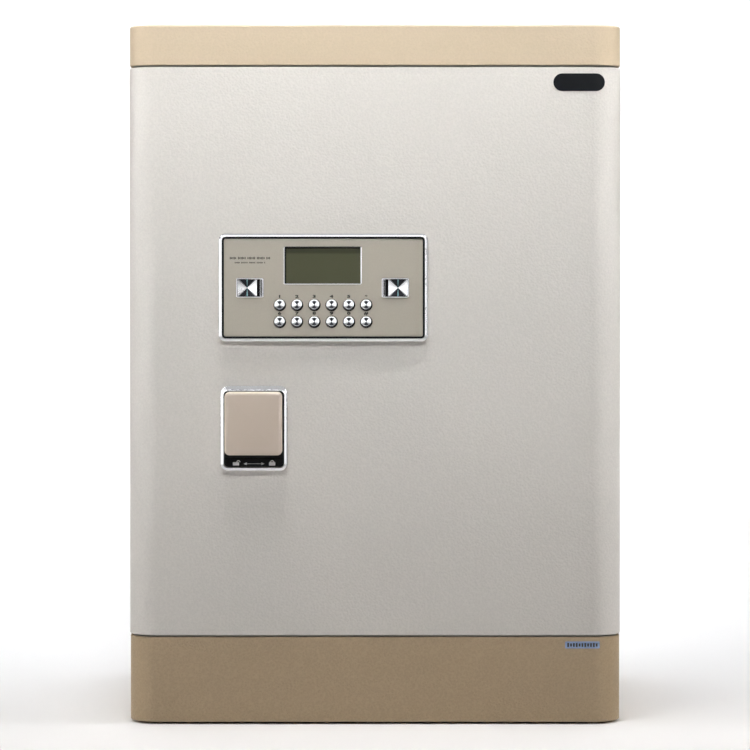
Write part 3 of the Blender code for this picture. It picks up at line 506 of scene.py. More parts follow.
def join(name, pieces):
    """One object out of several that already sit in place."""
    bm = bmesh.new()
    for piece in pieces:
        bm.from_mesh(piece.data)
        bpy.data.objects.remove(piece)
    return mesh_object(name, bm)


def coat(mesh, look):
    mesh.materials.clear()
    mesh.materials.append(LOOKS[look].material)


def dress(piece, look, body, slot, *nodes, angle=35.0):
    """Gives a finished piece its material, shading and body, and hides the CAD nodes it stands for. The
    slot is not used.
    """
    coat(piece.data, look)
    piece.data.shade_smooth()
    piece.data.set_sharp_from_angle(angle=math.radians(angle))
    weigh = piece.modifiers.new("even_normals", "WEIGHTED_NORMAL")
    weigh.keep_sharp = True
    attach(piece, body)
    if nodes:
        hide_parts(*nodes)


def recoat(look, *nodes):
    """Gives CAD nodes that stay on show a finished material."""
    for node in nodes:
        coat(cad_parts[node].data, look)


# ---- cabinet ----

TRAY = 2.5  # skirts of the cap and the base
CABINET_RADII = (CORNER - STEP, 3.0, 3.0, CORNER - STEP)
ANCHORS = [(side * 140.0, depth) for side in (-1, 1) for depth in (-60.0, 120.0)]
WALL_ANCHORS = [(side * 120.0, 440.0) for side in (-1, 1)]
OPENING = (-187.0, 97.0), (172.0, 543.0)  # inside of the door frame


def dress_cabinet():
    lip = 0.8
    top, low = CAP_HIGH.z, CAP_LOW.z
    profile = [(TRAY, top - 3.0), (TRAY, low + 0.4), (TRAY - 0.4, low), *soft_ends(low, top, lip, 1.5, 4)]
    cap = stack("cap_shell", CAP_LOW, CAP_HIGH, "up", CABINET_RADII, profile, steps=16)
    dress(cap, "cap_paint", "cabinet", "champagne_paint", "top_cap")

    top, low = BASE_HIGH.z, BASE_LOW.z
    edges = soft_ends(low, top, 1.0, lip, 4)[::-1]
    profile = [(TRAY, low + 3.0), (TRAY, top - 0.4), (TRAY - 0.4, top), *edges]
    plinth = stack("plinth_shell", BASE_LOW, BASE_HIGH, "up", CABINET_RADII, profile, steps=16)
    bores = [rod("bore", spot, "up", 7.0, 0.0, 10.0) for spot in ANCHORS]
    dress(cut(plinth, *bores), "champagne_in_shade", "cabinet", "champagne_paint", "base_plinth")

    for side in ("left", "right"):
        wall = slab(f"side_panel_{side}", *box(f"wall_{side}"), "side", 0.3, 0.5, 0.5, 3)
        dress(wall, "door_paint", "cabinet", "door_paint", f"wall_{side}")
    low, high = box("wall_back")
    rear = slab("rear_panel", low, high, "up", (0.3, 3.0, 3.0, 0.3), 0.3, 0.3)
    bores = [rod("bore", spot, "front", 6.0, low.y - 1.0, high.y + 1.0) for spot in WALL_ANCHORS]
    dress(cut(rear, *bores), "door_paint", "cabinet", "door_paint", "wall_back")

    for end in ("front_left", "front_right", "rear_left", "rear_right"):
        node = f"foot_{end}"
        low, high = box(node)
        foot = rod(f"pad_{end}", middle(node, "up"), "up", (high.x - low.x) / 2, low.z, high.z, 0.4, 64)
        dress(foot, "rubber", "cabinet", "rubber", node)

    recoat("cabinet_steel", "bottom_plate", "top_plate", "shelf_rail_left", "shelf_rail_right")


def dress_inside():
    """Door frame, felt mat, shelf and hinge pins."""
    low, high, front, back = flatten(*box("door_frame"), "front")
    outside = [(rounded(low, high, 0.8, inset), level) for inset, level in soft_ends(front, back, 0.6, 0.6)]
    inside = [(rounded(*OPENING, 5.0, -inset), level) for inset, level in soft_ends(front, back, 1.2, 0.6)]
    layers = [layer(points, level, "front") for points, level in outside + inside[::-1]]
    dress(loft("jamb", layers, True), "inner_paint", "cabinet", "door_paint", "door_frame")

    low, high = box("floor_mat")
    mat = slab("felt_mat", low, high, "up", 4.0, 0.2, 1.0)
    bores = [rod("bore", spot, "up", 10.0, low.z - 1.0, high.z + 1.0) for spot in ANCHORS]
    dress(cut(mat, *bores), "felt", "cabinet", "felt", "floor_mat")

    # shelf of folded sheet, notched where its front lip meets the rails
    low, high = box("shelf")
    sheet = 1.5
    bend = 2.2
    turns = [math.radians(15.0 * step) for step in range(7)]
    inner, outer = (
        [(low.y + bend - radius * math.sin(t), high.z - bend + radius * math.cos(t)) for t in turns]
        for radius in (bend - sheet, bend)
    )
    lip = [(low.y + sheet, low.z + 0.3), (low.y + sheet - 0.3, low.z), (low.y, low.z + 0.3)]
    section = [(high.y, high.z), (high.y, high.z - sheet), *inner, *lip, *outer[::-1]]
    shelf = loft("shelf_tray", [layer(section, level, "side") for level in (low.x, high.x)])
    clear = box("shelf_rail_left")[1].x - low.x + 4.0
    notches = []
    for start in (low.x - 1.0, high.x + 1.0 - clear):
        far = (start + clear, low.y + 4.0, high.z - sheet - 0.7)
        notches.append(slab("notch", (start, low.y - 1.0, low.z - 1.0), far, "up"))
    dress(cut(shelf, *notches), "cabinet_steel", "cabinet", "cabinet_steel", "shelf")

    recoat("bolt_steel", "hinge_pin_top", "hinge_pin_bottom")
    recoat("brass", "hinge_bush_top", "hinge_bush_bottom")


# ---- door ----

def dress_door():
    """Folded skin of the door, open for the keypad, the handle's spindle and the hinge bushes."""
    plate_low, plate_high = box("door_plate")
    gap = 0.3
    sheet = plate_low.x - gap - SKIN_LOW.x
    inner = CORNER - sheet
    lip_edge = plate_high.x + gap
    shell = slab("door_shell", SKIN_LOW, SKIN_HIGH, "up", (CORNER, CORNER, 2.0, CORNER), 1.2, 1.2, 20)
    walls = Vector((sheet, sheet, sheet))
    low, high = SKIN_LOW + walls, SKIN_HIGH - walls
    wide_high = (lip_edge, SKIN_HIGH.y + 5.0, high.z)
    tools = [
        slab("wide", low, wide_high, "up", (0.0, 0.0, 0.0, inner), steps=20),
        slab("deep", (lip_edge - 5.0, low.y, low.z), high, "up", (inner, inner, 0.0, 0.0), steps=20),
        slab("window", *panel(*box("keypad_housing"), FRONT - 5.0, FRONT + 8.0, 0.6), "front"),
        rod("bore", middle("handle_pad"), "front", 8.0, FRONT - 5.0, FRONT + 10.0),
    ]
    for node in ("hinge_bush_top", "hinge_bush_bottom"):
        level = middle(node)[1]
        tools.append(rod("bore", middle(node, "up"), "up", 8.3, level - 13.0, level + 13.0))
    dress(cut(shell, *tools), "door_paint", "door", "door_paint", "door_skin")
    recoat("inner_paint", "door_plate")


def dress_lock_box():
    """Cover over the bolt work with its screws, and the bolts that pass it."""
    bolts = ("bottom", "middle", "top")
    low, high = box("inner_cover")
    sheet = 1.5
    cover = slab("lock_cover", low, high, "front", 4.0, 0.0, 2.0)
    tools = [slab("hollow", *panel(low, high, low.y - 5.0, high.y - sheet, -sheet), "front", 2.5)]
    for name in bolts:
        tools.append(rod("bore", middle(f"bolt_{name}", "side"), "side", 11.5, low.x - 5.0, low.x + 5.0))
    for name, level in (("top", high.z), ("bottom", low.z)):
        spot = (middle(f"rod_{name}")[0], box(f"rod_{name}")[1].y - 7.0)  # of the rod's round end
        tools.append(rod("bore", spot, "up", 7.5, level - 5.0, level + 5.0))
    mouth = panel(*box("battery_box"), high.y - 5.0, high.y + 5.0, -sheet)
    tools.append(slab("mouth", *mouth, "front", 1.0))
    rows = (low.z + 14.0, (low.z + high.z) / 2, high.z - 14.0)
    spots = [(x, z) for x in (low.x + 14.0, high.x - 14.0) for z in rows]
    dimple = [(5.4, high.y + 1.0), (5.4, high.y), (4.6, high.y - 0.7)]
    tools += [lathe("dimple", spot, "front", dimple) for spot in spots]
    dress(cut(cover, *tools), "inner_paint", "door", "door_paint", "inner_cover")
    heads = [screw_head(spot, high.y - 0.7, 4.2) for spot in spots]
    dress(join("cover_screws", heads), "zinc_steel", "door", "zinc_steel")

    for name in bolts:
        node = f"bolt_{name}"
        low, high = box(node)
        radius = (high.z - low.z) / 2
        bolt = rod(f"live_{node}", middle(node, "side"), "side", radius, low.x, high.x, 1.2, 64)
        dress(bolt, "bolt_steel", "bolt_work", "zinc_steel", node)


def screw_head(spot, level, radius):
    """Pan head facing the back, with a cross recess."""
    profile = [(radius, level), (radius, level + 0.25 * radius)]
    for step in range(1, 7):
        turn = math.radians(15.0 * step)
        share = 0.45 + 0.55 * math.cos(turn) if step < 6 else 0.45
        profile.append((radius * share, level + radius * (0.25 + 0.25 * math.sin(turn))))
    head = lathe("head", spot, "front", profile, steps=32)
    top = level + 0.5 * radius
    long, thin = 0.42 * radius, 0.09 * radius
    arms = [
        slab("arm", *about(spot, *reach, top - 0.3 * radius, top + 1.0), "front")
        for reach in ((long, thin), (thin, long))
    ]
    return cut(head, *arms)


# ---- battery box ----

CELL_RADIUS = 7.1
CELL_LENGTH = 49.0
CELL_PITCH = 14.6
# (radius, distance from the flat end)
CELL_BODY = (
    (CELL_RADIUS - 1.2, 0.0), (CELL_RADIUS - 0.3, 0.1), (CELL_RADIUS, 0.5),
    (CELL_RADIUS, CELL_LENGTH - 2.2), (CELL_RADIUS - 0.4, CELL_LENGTH - 1.7),
    (CELL_RADIUS - 1.6, CELL_LENGTH - 1.7),
)
CELL_NUB = (
    (CELL_RADIUS - 1.8, CELL_LENGTH - 1.68), (3.0, CELL_LENGTH - 1.5), (2.7, CELL_LENGTH - 0.2),
    (2.3, CELL_LENGTH),
)


def dress_batteries():
    """Four cells on their springs, and the flip lid with its finger grooves."""
    low, high = box("battery_box")
    centre = (low + high) / 2
    depth = low.y + 1.5 + CELL_RADIUS + 0.6
    for number in range(1, 5):
        spot = (depth, centre.z + (number - 2.5) * CELL_PITCH)
        way = -1 if number % 2 else 1
        start = centre.x - way * CELL_LENGTH / 2
        body, nub = ([(r, start + way * far) for r, far in outline] for outline in (CELL_BODY, CELL_NUB))
        cell = lathe(f"cell_{number}", spot, "side", body, steps=40)
        dress(cell, "cell_wrap", "door", "black_plastic")
        cap = lathe(f"cell_cap_{number}", spot, "side", nub, steps=32)
        dress(cap, "zinc_steel", "door", "zinc_steel")
        wall = low.x + 1.7 if way > 0 else high.x - 1.7
        spring(f"cell_spring_{number}", spot, start, wall)
    recoat("black_plastic", "battery_box")

    low, high = box("battery_cover")
    lid = slab("battery_lid", low, high, "front", 2.0, 0.2, 0.7)
    grooves = []
    for index in range(4):
        spot = ((low.x + high.x) / 2, high.z - 7.4 - 2.4 * index)
        grooves.append(slab("groove", *about(spot, 12.0, 0.6, high.y - 0.6, high.y + 1.0), "front", 0.55))
    dress(cut(lid, *grooves), "black_plastic", "battery_lid", "black_plastic", "battery_cover")


def spring(name, spot, start, wall):
    """Conical coil between a cell's flat end and the wall of the box."""
    wire = math.copysign(0.35, wall - start)
    turns, per_turn = 4, 16
    rings = []
    for step in range(turns * per_turn + 1):
        share = step / (turns * per_turn)
        angle = math.tau * turns * share
        out = Vector((0.0, math.cos(angle), math.sin(angle)))
        along = Vector((1.0, 0.0, 0.0))
        x = start + wire + (wall - start - 2 * wire) * share
        centre = Vector((x, *spot)) + (2.2 + 2.6 * share) * out
        sides = [math.tau * k / 8 for k in range(8)]
        rings.append([centre + abs(wire) * (out * math.cos(t) + along * math.sin(t)) for t in sides])
    dress(loft(name, rings), "zinc_steel", "door", "zinc_steel", angle=60.0)


# ---- keypad ----

RIM = 3.0
RIM_LIFT = 0.9  # the frame's top edge is this much above its CAD body's
KEY_HOLE = 5.05
GASKET = 1.5
SLACK = 0.08  # between the frame, the gasket and the fascia
KEY_LABELS = {"star": "*", "hash": "#"}
KEYS = ("1", "2", "3", "4", "5", "star", "6", "7", "8", "9", "0", "hash")


def lettering(name, marks, level, look, body, slot):
    """Raised print from (text, x, z, height) marks, facing the front."""
    wider = Matrix.Scale(1.75, 4, (1.0, 0.0, 0.0))
    pieces = []
    for text, x, z, height in marks:
        font = bpy.data.curves.new("mark", "FONT")
        font.body = text
        font.align_x = "CENTER"
        font.align_y = "CENTER"
        font.size = height * MM * 1.35
        font.extrude = 0.03 * MM
        font.offset = (0.02 if text == "*" else 0.07) * height * MM
        font.resolution_u = 3
        source = add_object("mark", font)
        mesh = final_mesh(source)
        bpy.data.objects.remove(source)
        place = Matrix.Translation((x * MM, level * MM, z * MM))
        mesh.transform(place @ Matrix.Rotation(math.pi / 2, 4, "X") @ wider)
        pieces.append(add_object("mark", mesh))
    dress(join(name, pieces), look, body, slot)


def dress_keypad():
    """Chrome frame, gasket, fascia, display, keys and print of the panel."""
    low, high = box("keypad_bezel")
    crown, back = low.y, high.y
    high = high + Vector((0.0, 0.0, RIM_LIFT))
    profile = [(0.0, back), *behind(
        crown, (0.0, 3.0), (0.05, 2.2), (0.15, 1.5), (0.3, 1.12), (0.4, 1.02), (1.5, 0.44), (1.6, 0.39),
        (2.6, 0.06), (2.72, 0.0), (2.84, 0.12), (RIM, 0.8),
    ), (RIM, back)]
    ring = stack("panel_rim", low, high, "front", 6.0, profile, True, 12)
    dress(ring, "wavy_chrome", "door", "chrome", "keypad_bezel", angle=50.0)

    face = box("keypad_fascia")[0].y
    start, end = RIM + SLACK, RIM + GASKET
    edge = behind(face, (start, 0.8), (RIM + 0.35, 0.5), (end - 0.3, 0.5), (end, 0.8))
    gasket = stack("panel_gasket", low, high, "front", 6.0, [(start, back), *edge, (end, back)], True)
    dress(gasket, "deep_black", "door", "rubber")

    start = end + SLACK
    profile = [(start, back), *behind(face, (start, 0.55), (start + 0.15, 0.2), (start + 0.5, 0.0))]
    fascia = stack("panel_face", low, high, "front", 6.5, profile)
    through = (face - 5.0, back + 1.0)
    tools = [rod("hole", middle(f"key_{key}"), "front", KEY_HOLE, *through) for key in KEYS]
    lens = box("lcd_lens")
    tools.append(slab("hole", *panel(*lens, *through, 0.3), "front"))
    for node in ("cover_left", "cover_right"):
        tools.append(slab("hole", *panel(*box(node), *through, -1.5, -0.85), "front", 1.0))
    dress(cut(fascia, *tools), "fascia_plastic", "door", "beige_plastic", "keypad_fascia")

    # display: trim, glass behind it
    (x0, _, z0), (x1, _, z1) = panel(*lens, 0.0, 0.0, 0.3)
    layers = [
        layer(rounded((x0, z0), (x1, z1 + over), 1.2, inset), face + depth, "front")
        for inset, depth, over in (
            (0.05, 1.2, 0.0), (0.05, -0.1, 0.0), (-0.4, -0.12, 0.0), (-0.4, -0.8, 0.0), (-0.25, -1.05, 0.0),
            (-0.1, -1.1, 0.05), (0.1, -1.0, 0.2), (0.65, -0.65, 0.5), (0.7, 1.2, 0.5),
        )
    ]
    dress(loft("display_trim", layers, True), "chrome", "door", "chrome", angle=50.0)
    glass = slab("display_glass", *lens, "front", 0.4, 0.25, 0.0, 3)
    dress(glass, "lcd_glass", "door", "lcd_glass", "lcd_lens")

    marks = []
    for key in KEYS:
        dress_key(key)
        x, z = middle(f"key_{key}")
        marks.append((KEY_LABELS.get(key, key), x, z + 7.0, 2.4))
    key_wells(face)
    lettering("key_legends", marks, face - 0.02, "print_black", "door", "black_plastic")
    printed_rows(face)
    recoat("black_plastic", "keypad_housing", "lcd_module")
    recoat("circuit_board", "keypad_pcb")


def dress_key(key):
    """Cut-metal key: a collar behind the fascia, a bevelled edge and a shallow cut cone for a face."""
    node = f"key_{key}"
    low, high = box(node)
    back = high.y
    radius = 4.9
    collar = (high.x - low.x) / 2
    profile = [(0.6 * collar, back), (collar, back), (collar, back - 1.0), (radius, back - 1.0), *behind(
        low.y, (radius, 2.1), (radius - 0.1, 1.85), (radius - 0.45, 1.5), (radius - 0.6, 1.3), (2.2, 0.66),
        (0.1, 0.0),
    )]
    cap = lathe(f"cut_{node}", middle(node), "front", profile)
    dress(cap, "key_chrome", f"button_{key}", "chrome", node, angle=22.0)


def key_wells(face):
    """Black rings round the keys for the gap round each, set a little low and right so each shows a dark
    edge there as a painted shadow.
    """
    wells = []
    for key in KEYS:
        x, z = middle(f"key_{key}")
        inner = circle((x, z), KEY_HOLE)
        # moved low and right of the key: the dark crescent is a painted shadow
        outer, bevel = (circle((x + 0.1, z - 0.22), radius) for radius in (5.38, 5.3))
        rings = ((inner, 0.25), (outer, 0.25), (outer, -0.08), (bevel, -0.18), (inner, -0.18))
        wells.append(loft("well", [layer(points, face + depth, "front") for points, depth in rings], True))
    dress(join("key_wells", wells), "black_gloss", "door", "black_plastic")


def printed_rows(face):
    """Two rows of plain strokes where the photo has small print."""
    x, z = middle("cover_left")
    strokes = []
    for half, rise, tall, pitch in ((17.4, 25.4, 2.1, 1.16), (13.2, 21.5, 1.3, 0.94)):
        count = int(2 * half / pitch)
        for index in range(count):
            if index % 7 == 5:
                continue
            spot = (x + (index - (count - 1) / 2) * pitch, z + rise)
            up = 0.5 * tall * (1.0, 0.75, 0.9)[index % 3]
            stroke = about(spot, 0.31 * pitch, up, face - 0.05, face + 0.1)
            strokes.append(slab("stroke", *stroke, "front", 0.08, steps=1))
    dress(join("printed_rows", strokes), "print_black", "door", "black_plastic")


# ---- flip covers and what they hide ----

COVER_EDGE = 1.5  # raised edge of a cover
NOTCH = 4.6  # finger notch and lip beside the cut face


def strip(low, high, first, last, front, back):
    """Corners of the part of a cover between two places across it."""
    start, end = sorted((first, last))
    return (start, low.y + front, low.z + COVER_EDGE), (end, low.y + back, high.z - COVER_EDGE)


def dress_ports():
    """Chrome covers, and the key cylinder and power socket behind them."""
    for side, way in (("left", 1), ("right", -1)):
        body = f"{side}_flap"
        low, high = box(f"cover_{side}")
        profile = [(0.25, high.y), (0.0, high.y - 0.3), *behind(
            low.y, (0.0, 0.75), (0.25, 0.25), (0.7, 0.0), (1.05, 0.1), (1.3, 0.45), (1.4, 0.8),
        )]
        rim = stack(f"flip_cover_{side}", low, high, "front", 1.8, profile, steps=4)
        dress(rim, "chrome", body, "chrome", f"cover_{side}", angle=50.0)
        # sunburst plate, then the dark finger notch and its bright lip towards the middle of the panel
        hinge, edge = (low.x + COVER_EDGE, high.x - COVER_EDGE)[::way]
        cut_end = edge - way * NOTCH
        lip = cut_end + way * 2.6
        plate = sunburst_plate(f"burst_{side}", *strip(low, high, hinge, cut_end, 0.35, 0.85))
        dress(plate, "sunburst_chrome", body, "chrome", angle=12.0)
        recess = strip(low, high, cut_end + way * 0.3, lip, 0.6, 0.9)
        dress(slab(f"notch_{side}", *recess, "front", 0.3), "black_gloss", body, "black_plastic")
        bar = strip(low, high, lip + way * 0.15, edge, 0.1, 0.9)
        dress(slab(f"lip_{side}", *bar, "front", 0.4, 0.35, 0.0), "chrome", body, "chrome")

    low, high = box("key_cylinder")
    x, z = spot = middle("key_cylinder")
    barrel = [(5.3, high.y), (7.4, high.y), *behind(low.y, (7.4, 0.4), (7.0, 0.0), (5.8, 0.0), (5.3, 0.5))]
    cylinder = lathe("lock_barrel", spot, "front", barrel, True, 64)
    dress(cylinder, "zinc_steel", "door", "zinc_steel", "key_cylinder")
    low, high = box("cylinder_plug")
    plug = rod("lock_plug_body", spot, "front", 5.0, low.y, high.y, 0.3, 64)
    keyway = [
        slab("keyway", (x - 1.0, low.y - 1.0, z - 3.5), (x + 0.4, low.y + 18.0, z + 3.5), "front"),
        slab("keyway", (x - 0.4, low.y - 1.2, z - 1.6), (x + 1.0, low.y + 17.8, z + 1.2), "front"),
    ]
    dress(cut(plug, *keyway), "brass", "lock_plug", "brass", "cylinder_plug")

    low, high = box("power_socket")
    x, z = spot = middle("power_socket")
    body = slab("socket_body", low, high, "front", 1.5, 0.5, 0.3)
    mouth = slab("mouth", *about(spot, 4.5, 3.5, low.y - 1.0, FRONT + 6.0), "front", 2.0)
    dress(cut(body, mouth), "black_plastic", "door", "black_plastic", "power_socket")
    pins = [
        rod("pin", (x + side * 2.0, z), "front", 0.6, FRONT - 1.0, FRONT + 6.4, 0.3, 16) for side in (-1, 1)
    ]
    dress(join("socket_pins", pins), "brass", "door", "brass")


def sunburst_plate(name, low, high):
    """Thin plate whose face is cut to a hollow pyramid."""
    flat_low, flat_high, front, back = flatten(low, high, "front")
    centre = [(near + far) / 2 for near, far in zip(flat_low, flat_high)]
    outer = rounded(flat_low, flat_high, 0.5, 0.0, 3)
    rim = front + 0.12
    layers = [layer(outer, back, "front"), layer(outer, rim, "front")]
    for share in (0.75, 0.5, 0.25, 0.03):
        ring = [[mid + (value - mid) * share for mid, value in zip(centre, point)] for point in outer]
        layers.append(layer(ring, rim + 0.2 * (1.0 - share), "front"))
    return loft(name, layers)


# ---- handle ----

HANDLE_LIFT = 1.0  # as RIM_LIFT, for the handle's rim


def dress_handle():
    """Chrome rim, thicker at its top, the black recess with its icons, and the pad that turns."""
    low, high, crown, back = flatten(*box("handle_bezel"), "front")
    layers = []
    for inset, depth, thicker in (
        (0.0, back - crown, 0.0), (0.0, 2.4, 0.0), (0.05, 1.7, 0.0), (0.15, 1.2, 0.0), (0.3, 1.0, 0.0),
        (0.4, 0.93, 0.0), (1.4, 0.41, 1.6), (1.5, 0.37, 1.65), (2.4, 0.07, 1.8), (2.55, 0.0, 1.9),
        (2.7, 0.18, 1.95), (2.8, 1.0, 2.0), (2.8, back - crown, 2.0),
    ):
        corner = (high[0], high[1] + HANDLE_LIFT - thicker)
        layers.append(layer(rounded(low, corner, 6.5, inset, 14), crown + depth, "front"))
    ring = loft("handle_rim", layers, True)
    dress(ring, "cut_chrome", "door", "chrome", "handle_bezel", angle=50.0)

    low, high = box("handle_backplate")
    backing = slab("handle_recess", low, high, "front", 3.3, 0.4, 0.0)
    bore = rod("bore", middle("handle_pad"), "front", 6.5, low.y - 1.0, high.y + 1.0)
    dress(cut(backing, bore), "black_gloss", "door", "black_plastic", "handle_backplate")
    lock_icons(low, high)

    low, high = box("handle_pad")
    profile = [(0.9, high.y), (0.3, high.y - 0.3), (0.0, high.y - 1.0), *behind(
        low.y, (0.0, 2.6), (0.08, 2.1), (0.25, 1.72), (0.5, 1.45), (0.85, 1.25), (1.6, 0.98), (2.3, 0.74),
        (2.8, 0.62), (3.5, 0.55), (6.0, 0.46), (10.0, 0.34), (15.0, 0.2), (20.0, 0.08), (23.5, 0.0),
    )]
    pad = stack("handle_grip", low, high, "front", 4.2, profile, steps=10)
    dress(pad, "pad_plastic", "handle", "beige_plastic", "handle_pad", angle=60.0)
    recoat(
        "zinc_steel", "cam_spindle", "bolt_carriage", "rod_top", "rod_bottom", "solenoid_body",
        "solenoid_plunger",
    )


def lock_icons(low, high):
    """Open padlock, double arrow and shut padlock on a raised strip under the handle's pad."""
    strip_low = (low.x + 0.2, low.y - 0.5, low.z + 0.3)
    strip_high = (high.x - 0.2, low.y + 0.2, low.z + 7.4)
    raised = slab("handle_strip", strip_low, strip_high, "front", (3.0, 0.6, 0.6, 3.0), 0.4, 0.0)
    dress(raised, "black_gloss", "door", "black_plastic")
    centre = (low.x + high.x) / 2
    level = low.z + 3.3
    turns = [math.radians(15.0 * step) for step in range(13)]
    outlines = []
    for side, lean in ((-1, 2.1), (1, 0.0)):
        x = centre + side * 15.5
        outlines.append(rounded((x - 2.7, level - 2.0), (x + 2.7, level + 0.9), 0.4))
        outer, inner = (
            [(x + lean + radius * math.cos(turn), level + 0.8 + radius * math.sin(turn)) for turn in turns]
            for radius in (1.75, 1.0)
        )
        outlines.append(outer + inner[::-1])
        tip, neck = centre + side * 9.0, centre + side * 6.2
        outlines.append([(tip, level - 0.45), (neck, level + 0.75), (neck, level - 1.65)])
    outlines.append(rounded((centre - 6.0, level - 0.65), (centre + 6.0, level - 0.25), 0.0))
    depths = (low.y - 0.55, low.y - 0.44)
    icons = [loft("icon", [layer(outline, depth, "front") for depth in depths]) for outline in outlines]
    dress(join("handle_icons", icons), "print_white", "door", "black_plastic")


# ---- badge and sticker, both blank ----

def wrap_depth(x, proud, edge_x, radius, front):
    """Y of a point that stands proud of a front face with a rounded upright corner."""
    past = x - (edge_x - radius)
    if past <= 0.0:
        return front - proud
    reach = radius + proud
    return front + radius - math.sqrt(max(reach * reach - past * past, 0.0))


def wrapped_tag(name, x0, x1, level, half_height, corner, proud, edge_x, radius, front):
    """Thin rounded tag bent around the upright corner."""
    columns = 36
    bm = bmesh.new()
    grids = []
    for lift, shrink in ((0.01, 0.0), (proud - 0.15, 0.0), (proud, 0.2)):
        grid = []
        curve = corner - shrink
        for index in range(columns + 1):
            share = 0.5 - 0.5 * math.cos(math.pi * index / columns)
            x = x0 + shrink + (x1 - x0 - 2 * shrink) * share
            reach = min(x - x0, x1 - x)
            inset = 0.0
            if reach < curve:
                inset = curve - math.sqrt(max(curve * curve - (curve - reach + shrink) ** 2, 0.0))
            half = max(half_height - shrink - inset, 0.02)
            y = wrap_depth(x, lift, edge_x, radius, front)
            grid.append([bm.verts.new((x, y, level + way * half)) for way in (-1, 1)])
        grids.append(grid)
    for grid in (grids[0], grids[-1]):
        for first, second in zip(grid, grid[1:]):
            bm.faces.new((first[0], second[0], second[1], first[1]))
    for lower, upper in zip(grids, grids[1:]):
        for side in (0, 1):
            for k in range(columns):
                bm.faces.new((lower[k][side], lower[k + 1][side], upper[k + 1][side], upper[k][side]))
        for end in (0, -1):
            bm.faces.new((*lower[end], *upper[end][::-1]))
    return solid(name, bm)


def dress_tags():
    on_door = (SKIN_HIGH.x, CORNER, FRONT)
    on_base = (BASE_HIGH.x, CORNER - STEP, BASE_LOW.y)
    badge = wrapped_tag("blank_badge", 152.8, 197.0, 551.15, 7.55, 7.5, 0.9, *on_door)
    dress(badge, "deep_black", "door", "black_plastic", angle=50.0)
    sticker = wrapped_tag("blank_sticker", 163.3, 193.1, 68.25, 3.05, 0.8, 0.25, *on_base)
    dress(sticker, "sticker_blue", "cabinet", "black_plastic", angle=50.0)
    marks = []
    for index in range(11):
        x = 165.0 + 2.45 * index
        tall = (1.9, 1.5, 1.75)[index % 3]
        marks.append(wrapped_tag("mark", x, x + 1.9, 68.25, tall, 0.15, 0.3, *on_base))
    dress(join("sticker_blocks", marks), "print_black", "cabinet", "black_plastic", angle=50.0)


dress_cabinet()
dress_inside()
dress_door()
dress_lock_box()
dress_batteries()
dress_keypad()
dress_ports()
dress_handle()
dress_tags()


# ---- stage, lights and camera ----

def make_stage():
    """Pale floor that sweeps up behind the object."""
    foot, bend = 3.4, 1.2
    section = [(-6.0, 0.0), (foot, 0.0)]
    for angle in range(10, 91, 10):
        turn = math.radians(angle)
        section.append((foot + bend * math.sin(turn), bend - bend * math.cos(turn)))
    section.append((foot + bend, 5.0))
    bm = bmesh.new()
    rows = [[bm.verts.new((x, y, z)) for x in (-6.0, 6.0)] for y, z in section]
    for first, second in zip(rows, rows[1:]):
        bm.faces.new((*first, *second[::-1]))
    floor = mesh_object("sweep", bm)
    floor.data.shade_smooth()
    look = Look("sweep_paper", (0.95, 0.95, 0.955), 0.9)
    look.shade(look.noise(900.0), 0.99, 1.01)
    floor.data.materials.append(look.material)


def add_light(name, place, target, size, spread, power, colour=(1.0, 1.0, 1.0)):
    lamp = bpy.data.lights.new(name, "AREA")
    lamp.shape = "RECTANGLE"
    lamp.size, lamp.size_y = size
    lamp.spread = math.radians(spread)
    lamp.energy = power
    lamp.color = colour
    made = add_object(name, lamp)
    made.visible_camera = False
    made.location = place
    made.rotation_euler = (Vector(target) - Vector(place)).to_track_quat("-Z", "Y").to_euler()
    return made


FRONT_Y = FRONT * MM  # the door's face, in metres
CARD_POWER = 4.4  # of a card of one square metre that shows as white
COOL = (0.95, 0.97, 1.0)
WARM = (1.0, 0.92, 0.86)
# name, place, target, size, spread in degrees, power, and colour if it isn't white
LAMPS = (
    ("key", (0.1, -1.6, 1.4), (0.0, FRONT_Y, 0.72), (1.0, 0.4), 22.0, 1.04),
    ("fill", (0.1, -1.6, 1.2), (0.0, FRONT_Y, 0.44), (1.0, 0.4), 16.0, 0.46, COOL),
    ("low", (0.1, -1.6, 1.0), (0.0, FRONT_Y, 0.22), (1.0, 0.2), 12.0, 0.09),
    ("graze", (-0.12, -0.60, 1.45), (0.0, FRONT_Y, 0.40), (0.35, 0.12), 60.0, 0.52),
    ("side_left", (-1.3, -0.25, 0.9), (-0.2, -0.1, 0.45), (0.3, 0.8), 70.0, 1.62),
    ("side_right", (1.3, -0.25, 0.9), (0.2, -0.1, 0.45), (0.3, 0.8), 70.0, 1.8),
    ("floor_front", (0.0, -0.42, 2.3), (0.0, -0.42, 0.0), (0.9, 0.25), 24.0, 0.66, WARM),
    ("floor_back", (0.0, 1.2, 2.4), (0.0, 1.2, 0.0), (3.0, 1.6), 100.0, 21.5),
    ("floor_far", (0.0, 3.0, 2.4), (0.0, 3.0, 0.0), (3.0, 1.2), 100.0, 19.0),
    ("backdrop", (0.0, 2.6, 2.6), (0.0, 4.4, 0.9), (4.0, 0.8), 110.0, 44.0),
)
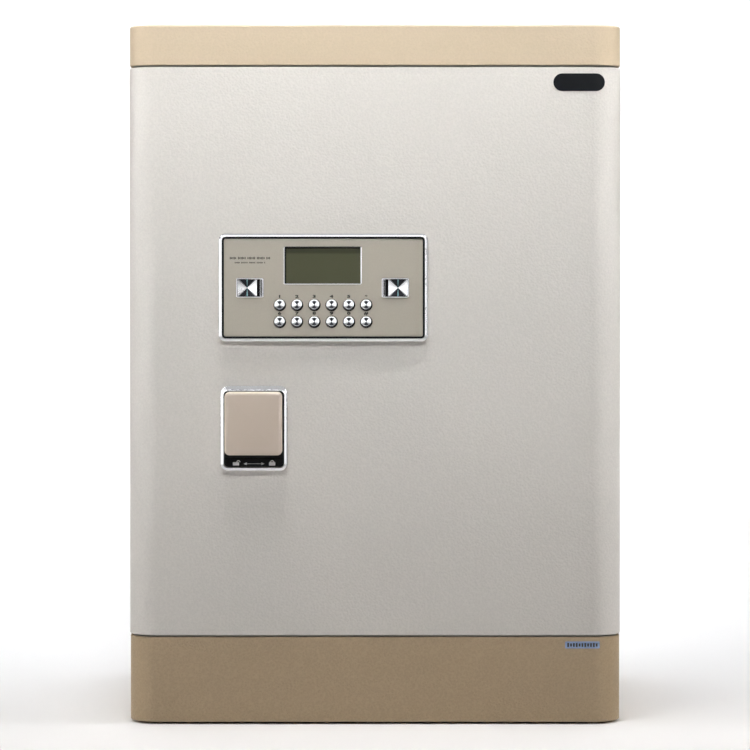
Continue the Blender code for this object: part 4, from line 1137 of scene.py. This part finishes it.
# name, degrees right of and above the line from the panel to the camera, distance, size, brightness
CARDS = (
    ("card_left", -43.0, -2.0, 1.4, (1.70, 1.0), 1.0),
    ("card_right", 31.0, -1.0, 1.6, (0.64, 1.1), 1.0),
    ("card_far_right", 56.0, -1.0, 1.6, (0.70, 1.1), 0.40),
    ("card_top", 0.0, 35.0, 1.7, (1.04, 0.44), 1.0),
    ("card_high", 0.0, 56.0, 1.7, (1.4, 0.60), 0.42),
    ("card_grey", 0.0, 21.5, 1.7, (1.04, 0.34), 0.36),
    ("card_low", 0.0, -34.0, 0.6, (0.34, 0.14), 0.9),
    ("corner_left", -36.0, 33.0, 1.7, (1.2, 0.9), 0.9),
    ("corner_right", 36.0, 33.0, 1.7, (1.2, 0.9), 0.8),
)


def make_lights():
    """Lamps that light the paint and the floor, and white cards that only the glossy parts mirror."""
    for lamp in LAMPS:
        add_light(*lamp).visible_glossy = False
    panel_middle = Vector((-0.045, FRONT_Y, 0.37))
    for name, across, up, away, size, brightness in CARDS:
        turn, rise = math.radians(across), math.radians(up)
        way = Vector((math.sin(turn) * math.cos(rise), -math.cos(turn) * math.cos(rise), math.sin(rise)))
        power = CARD_POWER * brightness * size[0] * size[1]
        card = add_light(name, panel_middle + away * way, panel_middle, size, 180.0, power)
        card.visible_diffuse = False


def make_world():
    """Faint grey light, brighter from above."""
    world = bpy.data.worlds.new("studio")
    world.use_nodes = True
    nodes, links = world.node_tree.nodes, world.node_tree.links
    place = nodes.new("ShaderNodeTexCoord")
    parts = nodes.new("ShaderNodeSeparateXYZ")
    ramp = nodes.new("ShaderNodeValToRGB")
    dark, light = ramp.color_ramp.elements
    dark.color = (0.30, 0.29, 0.28, 1.0)
    light.position = 0.8
    links.new(place.outputs["Generated"], parts.inputs[0])
    links.new(parts.outputs["Z"], ramp.inputs[0])
    links.new(ramp.outputs[0], nodes["Background"].inputs["Color"])
    nodes["Background"].inputs["Strength"].default_value = 0.05
    bpy.context.scene.world = world


def make_camera():
    """Long lens a little above the middle of the object, tilted down with a small shift."""
    width_seen = 0.6432
    distance = 2.9
    height = 0.385
    shift = -0.05
    aim = 0.3003
    camera = bpy.data.cameras.new("camera")
    camera.sensor_width = 36.0
    camera.lens = camera.sensor_width * distance / width_seen
    camera.shift_y = shift
    made = add_object("camera", camera)
    made.location = (0.0, FRONT_Y - distance, height)
    drop = math.atan((height - aim + shift * width_seen) / distance)
    made.rotation_euler = (math.pi / 2 - drop, 0.0, 0.0)
    bpy.context.scene.camera = made


make_stage()
make_lights()
make_world()
make_camera()
bpy.context.scene.view_settings.view_transform = "Standard"
